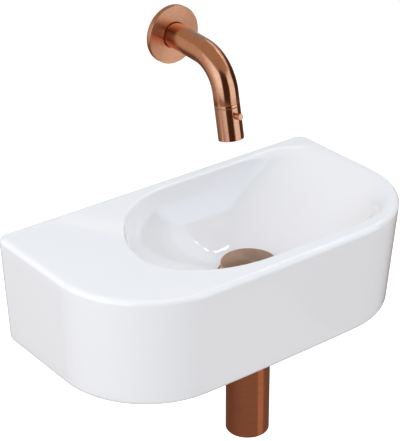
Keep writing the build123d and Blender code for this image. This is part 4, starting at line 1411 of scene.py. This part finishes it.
def spout_tube(s, f):
    """Bent tube from the wall to the handle, with thin rounded ends."""
    centre = middle("tap_rose")
    points = [(centre.x, -out, centre.z + up) for out, up in spout_path(s)]
    path = bpy.data.meshes.new("spout_path")
    path.from_pydata(points, [(k, k + 1) for k in range(len(points) - 1)], [])
    tube = grown(path, node_tree(tube_tree), finish("brushed_copper"), Sides=s.sides + 1, Radius=s.radius)
    carrier = bpy.data.objects.new("thickening", tube)
    bpy.context.scene.collection.objects.link(carrier)
    wall = carrier.modifiers.new("wall", "SOLIDIFY")
    wall.thickness = s.wall
    wall.offset = -1
    wall.use_even_offset = True
    ends = carrier.modifiers.new("ends", "BEVEL")
    ends.width = f.fine_edge
    ends.segments = 3
    ends.limit_method = "ANGLE"
    ends.angle_limit = END_ANGLE
    result = evaluated(carrier)
    carrier.modifiers.clear()
    bpy.data.objects.remove(carrier)
    return shaded_by_angle(result)


def slip_ring(s, f):
    """Thin ring between the spout and the handle."""
    low = s.handle + s.groove_from
    outline = [(s.stem, low), (s.radius, low, s.ring_edge), (s.radius, low + s.ring, s.ring_edge)]
    outline.append((s.stem, low + s.ring))
    return placed(turned("slip_ring", outline, f.sides, f.fine_edge / 2), joint_place("handle_turn"))


def handle_sleeve(s, f):
    """Turning handle with its inside and the seat of the pin."""
    web, seat = s.web_above, s.web_above + s.web
    low, high = s.groove_above, s.groove_above + s.groove_height
    outline = [(s.socket, 0), (s.radius, 0, s.handle_edge), (s.radius, s.handle, s.handle_edge)]
    outline += [(s.stem, s.handle), (s.stem, high, 0), (s.stem + s.groove_depth, high, 0)]
    outline += [(s.stem + s.groove_depth, low, 0), (s.stem, low, 0), (s.stem, seat, 0), (s.web_bore, seat)]
    outline += [(s.web_bore, web), (s.socket, web, 0)]
    sleeve = placed(turned("handle_sleeve", outline, f.sides, f.fine_edge), joint_place("handle_turn"))
    bore = s.pin + f.thread_gap
    drill = [(0, -s.pin_seat), (bore, -s.pin_seat, 0), (bore, s.pin_length, 0), (0, s.pin_length)]
    recess = turned("recess", drill, DRILL_SIDES, 0)
    return shaded_by_angle(carved(sleeve, [placed(recess, pin_place(s))], "DIFFERENCE"))


def pin_place(s):
    """Placement at the foot of the pin on the handle's surface, with Z outwards."""
    joint = joint_place("handle_turn")
    axis = joint.to_3x3().col[2]
    out = Vector((0, -axis.z, axis.y))
    return facing(joint.to_translation() + axis * s.pin_above + out * s.radius, out, up=(1, 0, 0))


def lever_pin(s, f):
    """Short pin with a waist at its foot and a rounded face."""
    foot, waist = -s.pin_seat, s.pin - s.pin_neck
    end = foot - s.pin_shank_length
    outline = [(0, end), (s.pin_shank, end), (s.pin_shank, foot, 0), (waist, foot, 0), (waist, s.pin_neck)]
    outline += [(s.pin, s.pin_neck * 2), (s.pin, s.pin_length, s.pin_edge), (0, s.pin_length)]
    return placed(turned("lever_pin", outline, f.sides // 2, f.fine_edge / 2), pin_place(s))


def aerator(s, f):
    """Insert with a perforated floor."""
    low, high = s.aerator_recess, s.aerator_recess + s.aerator_height
    inner, floor = s.aerator - s.aerator_wall, s.aerator_recess + s.aerator_floor
    outline = [(0, low), (s.aerator, low), (s.aerator, high), (inner, high), (inner, floor), (0, floor)]
    insert = turned("aerator", outline, f.sides, f.fine_edge)
    insert = grown(
        insert, node_tree(lattice_tree), finish("white_plastic"), Spacing=s.cell, Hole=(s.cell - s.bar) / 2,
        Reach=inner - s.cell / 2, Depth=4 * s.aerator_floor, Rows=s.cells,
    )
    return placed(shaded_by_angle(insert), joint_place("handle_turn"))


NIPPLE_SIDES = 96


def supply_nipple(s, f):
    """Threaded nipple between the supply and the spout."""
    wall, neck = s.nipple, s.nipple - s.nipple_relief
    plug, end = s.radius - s.wall, s.seal + s.nipple_plug
    rings = math.ceil(s.nipple_run / s.nipple_pitch) * THREAD_RINGS
    outline = [(s.nipple_bore, -s.nipple_run)] + straight(wall, -s.nipple_run, 0, rings)
    outline += [(neck, 0, 0), (neck, s.seal, 0), (plug, s.seal, 0), (plug, end), (s.nipple_bore, end)]
    nipple = turned("supply_nipple", outline, NIPPLE_SIDES, f.fine_edge)
    nipple = threaded(nipple, s.nipple_pitch, s.nipple_thread, s.nipple_bore + MM, -s.nipple_run, 0)
    return placed(shaded_by_angle(nipple), against_wall("tap_rose"))


BOLT_SIDES = 48
METRIC_RINGS = 8


def wall_bolts(c, f):
    """Two bolts with a wood thread in the wall and a metric thread in the room."""
    end = -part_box("hanger_bolts")[0][1]
    wood = math.ceil(f.stud_in_wall / f.wall_pitch) * THREAD_RINGS
    metric = math.ceil(end / f.metric_pitch) * METRIC_RINGS
    point = -f.stud_in_wall
    outline = [(0, point), (f.stud / 3, point, 0)]
    outline += straight(f.stud, point + f.stud_point, 0, wood) + straight(f.stud_thread, 0, end - MM, metric)
    outline += [(f.stud_thread - MM, end, 0), (0, end)]
    bolts = []
    for side in MIRRORED:
        bolt = turned("wall_bolts", outline, BOLT_SIDES, f.fine_edge)
        bolt = threaded(bolt, f.wall_pitch, f.wall_thread, f.stud_thread + MERGE, point, -MM)
        bolt = threaded(bolt, f.metric_pitch, f.metric_thread, f.stud_thread / 2, 0, end)
        bolts.append(placed(bolt, facing((side * c.stud_across, 0, 0), (0, -1, 0))))
    return shaded_by_angle(joined(*bolts))


FLOOR_TONES = ((0.86, 0.86, 0.86), (0.88, 0.88, 0.88))
FLOOR_GLOW = 0.42
FLOOR_REACH = 12


def floor_material():
    """Plain white floor that keeps the shadow and lights up a little for the camera alone."""
    material, tree, shader = new_material("studio_floor", Roughness=1.0, Specular_IOR_Level=0.0)
    place = object_place(tree)
    grain = ranged(tree, noise(tree, place, 3.0), 0.3, 0.7)
    seen = make_node(tree, "ShaderNodeLightPath").outputs["Is Camera Ray"]
    shader.inputs["Emission Color"].default_value = (1, 1, 1, 1)
    connect(
        tree, shader, Base_Color=mixed(tree, grain, *FLOOR_TONES),
        Emission_Strength=maths(tree, "MULTIPLY", seen, FLOOR_GLOW),
    )
    return material


def floor(studio):
    """Floor below the object, far wider than the view."""
    low = CAD_BOX[0][2] - studio.floor_drop
    reach = FLOOR_REACH
    corners = [(-reach, -reach, low), (reach, -reach, low), (reach, reach, low), (-reach, reach, low)]
    mesh = bpy.data.meshes.new("studio_floor")
    mesh.from_pydata(corners, [], [(0, 1, 2, 3)])
    mesh.materials.append(floor_material())
    ground = bpy.data.objects.new("studio_floor", mesh)
    bpy.context.scene.collection.objects.link(ground)


def world_light(scene, studio):
    """Even light from all round: white behind the object, and dimmer and warmer where it is reflected."""
    world = bpy.data.worlds.new("studio_world")
    world.use_nodes = True
    tree = world.node_tree
    tree.nodes.clear()
    path = make_node(tree, "ShaderNodeLightPath").outputs
    lit = mixed(tree, path["Is Camera Ray"], [studio.fill] * 3, (1, 1, 1))
    seen = make_node(
        tree, "ShaderNodeMix", {0: path["Is Glossy Ray"], 6: lit, 7: (*studio.reflected, 1)}, data_type="RGBA"
    )
    sky = make_node(tree, "ShaderNodeBackground", {"Color": seen.outputs[2], "Strength": 1.0})
    out = make_node(tree, "ShaderNodeOutputWorld")
    tree.links.new(sky.outputs[0], out.inputs[0])
    scene.world = world


OBJECT_MIDDLE = Vector((0, -0.1, 0.05))
LAMPS = {
    "studio_top": ((-0.45, -0.2, 1.25), (1.2, 1.0), 4.0),
    "studio_left": ((-1.4, -0.15, 0.4), (0.9, 1.0), 4.6),
    "studio_right": ((1.6, -0.1, 0.25), (0.9, 1.0), 11.0),
}


def lamp(name, place, size, watts):
    """Soft rectangular lamp that faces the object."""
    light = bpy.data.lights.new(name, "AREA")
    light.shape = "RECTANGLE"
    light.size = size[0]
    light.size_y = size[1]
    light.energy = watts
    holder = bpy.data.objects.new(name, light)
    holder.location = place
    holder.rotation_euler = (OBJECT_MIDDLE - Vector(place)).to_track_quat("-Z", "Y").to_euler()
    holder.visible_glossy = False
    bpy.context.scene.collection.objects.link(holder)


HIDDEN_FROM = ("camera", "diffuse", "shadow", "transmission", "volume_scatter")


def glowing(name, low, high, axis=(1, 0, 0), start=0.0, end=1.0):
    """Material that only glows, from one tone to another along an axis of its card."""
    material, tree, shader = new_material(name, Roughness=1.0, Specular_IOR_Level=0.0, Emission_Strength=1.0)
    shader.inputs["Base Color"].default_value = (0, 0, 0, 1)
    along = make_node(tree, "ShaderNodeVectorMath", {0: object_place(tree), 1: axis}, operation="DOT_PRODUCT")
    share = ranged(tree, along.outputs["Value"], start, end)
    connect(tree, shader, Emission_Color=mixed(tree, share, low, high))
    return material


def card(name, place, size, material, normal):
    """Plain card that only reflections see."""
    mesh = bpy.data.meshes.new(name)
    x = size[0] / 2
    y = size[1] / 2
    mesh.from_pydata([(-x, -y, 0), (x, -y, 0), (x, y, 0), (-x, y, 0)], [], [(0, 1, 2, 3)])
    mesh.materials.append(material)
    holder = bpy.data.objects.new(name, mesh)
    holder.matrix_world = facing(place, normal)
    bpy.context.scene.collection.objects.link(holder)
    for ray in HIDDEN_FROM:
        setattr(holder, f"visible_{ray}", False)


# Each upright card: the range of bearings it covers round the tap, from the camera's bearing and
# positive to the right in the picture, the range of heights above the tap's level, both in degrees,
# then its distance in metres and its lower and upper tones.
UPRIGHT_CARDS = {
    "card_camera": ((-13, 37), (-16, 44), 2.3, (0.055, 0.035, 0.03), (0.055, 0.035, 0.03)),
    "card_left": ((-61, -18), (-16, 34), 1.6, (0.72, 0.85, 0.95), (1.1, 1.45, 1.8)),
    "card_left_edge": ((-80, -61), (-28, 33), 1.62, (0.45, 0.44, 0.42), (0.82, 0.95, 1.0)),
    "card_far_left": ((-115, -80), (-28, 32), 1.5, (0.34, 0.33, 0.31), (0.56, 0.53, 0.46)),
    "card_right": ((43, 92), (-31, 37), 1.1, (0.55, 0.52, 0.5), (1.0, 1.3, 1.48)),
    "card_dark_right": ((95, 155), (-16, 25), 1.5, (0.06, 0.04, 0.035), (0.06, 0.04, 0.035)),
    "card_high_right": ((93, 172), (33, 52), 1.2, (0.8, 0.95, 1.1), (0.8, 0.95, 1.1)),
    "card_low_back": ((-180, -115), (-28, -10), 1.3, (0.33, 0.36, 0.4), (0.33, 0.36, 0.4)),
    "card_back": ((158, 202), (10, 38), 1.9, (0.31, 0.38, 0.44), (0.31, 0.38, 0.44)),
}
TAP_PLACE = Vector((0.02, -0.08, 0.2))
CAMERA_BEARING = 232.3
CARD_FADE = 0.6
GROUND = -0.6


def upright_card(name, across, up, distance, low, high):
    """Upright card that fades towards its lower edge, over a range of bearings and heights."""
    bearing = math.radians(CAMERA_BEARING + sum(across) / 2)
    half = math.radians(across[1] - across[0]) / 2
    foot, head = (max(TAP_PLACE.z + distance * math.tan(math.radians(angle)), GROUND) for angle in up)
    place = TAP_PLACE + distance * Vector((math.cos(bearing), math.sin(bearing), 0))
    place.z = (foot + head) / 2
    size = (2 * distance * math.tan(half), head - foot)
    start = -size[1] / 2
    towards = OBJECT_MIDDLE - place
    towards.z = 0
    card(name, place, size, glowing(name, low, high, (0, 1, 0), start, start + CARD_FADE), towards)


SPOTS = {
    "spot_right": ((1.24, -0.29, 1.58), (0.15, 0.045)),
    "spot_middle": ((1.2, -0.06, 1.62), (0.15, 0.045)),
    "spot_back": ((1.1, 0.08, 1.69), (0.08, 0.09)),
}
SPOT_TONE = (8, 8, 8)


def spot(name, place, size):
    """Small bright card that faces the object."""
    card(name, place, size, glowing(name, SPOT_TONE, SPOT_TONE), OBJECT_MIDDLE - Vector(place))


UPWARDS = (0, 0, 1)
GROUND_TONES = ((0.16, 0.11, 0.085), (0.25, 0.18, 0.14))
GROUND_RISE = (-0.3, -0.95, 0)
PATCH_TONE = (0.45, 0.31, 0.23)


def floor_cards():
    """Warm ground that only reflections see, lighter in front and lightest in a patch at the right."""
    ground = glowing("card_floor", *GROUND_TONES, GROUND_RISE, -0.4, 0.6)
    card("card_floor", (0, -0.1, -0.61), (6, 6), ground, UPWARDS)
    patch = glowing("card_patch", PATCH_TONE, PATCH_TONE)
    card("card_patch", (0.42, -0.72, -0.6), (0.4, 0.4), patch, UPWARDS)


SENSOR_WIDTH = 36.0
VIEW_DEPTH = 50.0


def camera(scene, studio):
    """Camera at the photo's angle."""
    data = bpy.data.cameras.new("studio_camera")
    data.lens = studio.lens
    data.sensor_width = SENSOR_WIDTH
    data.clip_end = VIEW_DEPTH
    holder = bpy.data.objects.new("studio_camera", data)
    level = math.cos(studio.pitch)
    forward = Vector((math.sin(studio.yaw) * level, math.cos(studio.yaw) * level, -math.sin(studio.pitch)))
    turn_to = Matrix.Rotation(studio.roll, 4, forward) @ forward.to_track_quat("-Z", "Y").to_matrix().to_4x4()
    holder.matrix_world = Matrix.Translation((studio.camera_x, studio.camera_y, studio.camera_z)) @ turn_to
    scene.collection.objects.link(holder)
    scene.camera = holder


class BASIN_OT_ceramic(bpy.types.Operator):
    """Makes the glazed ceramic"""

    bl_idname = "basin.ceramic"
    bl_label = "Ceramic"

    def execute(self, context):
        mesh = ceramic(context.scene.basin_ceramic, context.scene.basin_bowl)
        add("ceramic", mesh, finish("glaze"), "fixed", "glaze", "basin")
        return {"FINISHED"}


class BASIN_OT_waste(bpy.types.Operator):
    """Makes the waste outlet and its domed plug"""

    bl_idname = "basin.waste"
    bl_label = "Waste and plug"

    def execute(self, context):
        f = context.scene.basin_fittings
        copper = finish("brushed_copper")
        add("waste_outlet", waste_outlet(f), copper, "fixed", "copper", "waste_body")
        # The plug's dome gets the darker copy of the copper, painted shade for its dimmer reflections in the
        # bowl.
        add("plug_dome", plug_dome(f), finish("plug_shaded_copper"), "plug", "copper", "plug_cap")
        coil = valve_spring(f)
        spring = add("valve_spring", coil, finish("spring_steel"), "fixed", "spring_steel", "plug_spring")
        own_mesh(spring)
        return {"FINISHED"}


class BASIN_OT_trap(bpy.types.Operator):
    """Makes the bottle trap with its pipes, nuts and wall plate"""

    bl_idname = "basin.trap"
    bl_label = "Bottle trap"

    def execute(self, context):
        f = context.scene.basin_fittings
        copper = finish("brushed_copper")
        add("inlet_nut", inlet_nut(f), copper, "fixed", "copper", "trap_inlet_nut")
        add("dip_tube", dip_tube(f), copper, "fixed", "copper", "trap_dip_tube")
        add("neck_nut", neck_nut(f), copper, "fixed", "copper", "trap_slip_nut")
        add("bottle_head", bottle_head(f), copper, "fixed", "copper", "trap_head")
        add("bottle_cup", bottle_cup(f), copper, "cup", "copper", "trap_cup")
        add("outlet_nut", outlet_nut(f), copper, "fixed", "copper", "trap_outlet_nut")
        add("outlet_tube", outlet_tube(f), copper, "fixed", "copper", "trap_outlet_pipe")
        add("wall_plate", wall_plate(f), copper, "fixed", "copper", "trap_wall_plate")
        return {"FINISHED"}


class BASIN_OT_spout(bpy.types.Operator):
    """Makes the spout, its plate on the wall and its supply nipple"""

    bl_idname = "basin.spout"
    bl_label = "Spout"

    def execute(self, context):
        s, f = context.scene.basin_spout, context.scene.basin_fittings
        copper = finish("brushed_copper")
        add("rose", rose(s, f), finish("spun_copper"), "fixed", "copper", "tap_rose")
        add("spout_tube", spout_tube(s, f), copper, "fixed", "copper", "tap_spout")
        add("slip_ring", slip_ring(s, f), copper, "fixed", "copper", "tap_slip_ring")
        nipple = supply_nipple(s, f)
        add("supply_nipple", nipple, finish("raw_brass"), "fixed", "raw_brass", "tap_wall_nipple")
        return {"FINISHED"}


class BASIN_OT_handle(bpy.types.Operator):
    """Makes the turning handle with its pin and aerator"""

    bl_idname = "basin.handle"
    bl_label = "Handle"

    def execute(self, context):
        s, f = context.scene.basin_spout, context.scene.basin_fittings
        copper = finish("brushed_copper")
        add("handle_sleeve", handle_sleeve(s, f), copper, "handle", "copper", "tap_handle_sleeve")
        add("lever_pin", lever_pin(s, f), copper, "handle", "copper", "tap_lever_pin")
        insert = aerator(s, f)
        add("aerator_insert", insert, finish("white_plastic"), "handle", "white_plastic", "tap_aerator")
        return {"FINISHED"}


class BASIN_OT_fixings(bpy.types.Operator):
    """Makes the threaded bolts that carry the ceramic on the wall"""

    bl_idname = "basin.fixings"
    bl_label = "Wall bolts"

    def execute(self, context):
        mesh = wall_bolts(context.scene.basin_ceramic, context.scene.basin_fittings)
        add("wall_bolts", mesh, finish("zinc_plate"), "fixed", "zinc_steel", "hanger_bolts")
        return {"FINISHED"}


CAD_FINISHES = {
    "white_plastic": ("fixing_bushes", "plug_cartridge"),
    "zinc_plate": ("fixing_washers", "fixing_nuts"),
    "raw_brass": ("waste_back_nut", "plug_stem", "tap_valve_cartridge"),
    "spring_steel": ("tap_retaining_ring",),
    "valve_ceramic": ("tap_fixed_disc", "tap_turning_disc"),
    "black_rubber": (
        "waste_top_seal", "waste_under_seal", "plug_seal", "trap_inlet_seal", "trap_slip_seal",
        "trap_cup_gasket", "trap_outlet_seal", "tap_rose_seal", "tap_wall_seal", "tap_aerator_seal",
    ),
}


class BASIN_OT_finishes(bpy.types.Operator):
    """Gives the remaining pieces of the frame their finishes"""

    bl_idname = "basin.finishes"
    bl_label = "Finishes"

    def execute(self, context):
        for name, nodes in CAD_FINISHES.items():
            for node in nodes:
                materials = frame["nodes"][node].data.materials
                materials.clear()
                materials.append(finish(name))
        return {"FINISHED"}


class BASIN_OT_studio(bpy.types.Operator):
    """Makes the floor, the lights and the camera"""

    bl_idname = "basin.studio"
    bl_label = "Studio"

    def execute(self, context):
        scene = context.scene
        studio = scene.basin_studio
        floor(studio)
        world_light(scene, studio)
        for name, values in LAMPS.items():
            lamp(name, *values)
        floor_cards()
        for name, values in UPRIGHT_CARDS.items():
            upright_card(name, *values)
        for name, values in SPOTS.items():
            spot(name, *values)
        camera(scene, studio)
        scene.view_settings.view_transform = "Standard"
        return {"FINISHED"}


class BASIN_PT_panel(bpy.types.Panel):
    """Buttons for the pieces, in order"""

    bl_idname = "BASIN_PT_panel"
    bl_label = "Wall basin"
    bl_space_type = "VIEW_3D"
    bl_region_type = "UI"
    bl_category = "Basin"

    def draw(self, context):
        for operator in OPERATORS:
            self.layout.operator(operator.bl_idname)


OPERATORS = (
    BASIN_OT_ceramic, BASIN_OT_waste, BASIN_OT_trap, BASIN_OT_spout, BASIN_OT_handle, BASIN_OT_fixings,
    BASIN_OT_finishes, BASIN_OT_studio,
)
GROUPS = {
    "basin_ceramic": CeramicSizes,
    "basin_bowl": BowlSizes,
    "basin_fittings": FittingSizes,
    "basin_spout": SpoutSizes,
    "basin_finishes": Finishes,
    "basin_studio": StudioSizes,
}


def register():
    for kind in (*GROUPS.values(), *OPERATORS, BASIN_PT_panel):
        bpy.utils.register_class(kind)
    for name, group in GROUPS.items():
        setattr(bpy.types.Scene, name, PointerProperty(type=group))


def unregister():
    for name in GROUPS:
        delattr(bpy.types.Scene, name)
    for kind in (BASIN_PT_panel, *reversed(OPERATORS), *GROUPS.values()):
        bpy.utils.unregister_class(kind)


def main():
    """Makes every piece and the studio."""
    register()
    bpy.ops.basin.ceramic()
    bpy.ops.basin.waste()
    bpy.ops.basin.trap()
    bpy.ops.basin.spout()
    bpy.ops.basin.handle()
    bpy.ops.basin.fixings()
    bpy.ops.basin.finishes()
    bpy.ops.basin.studio()


if __name__ == "__main__":
    main()
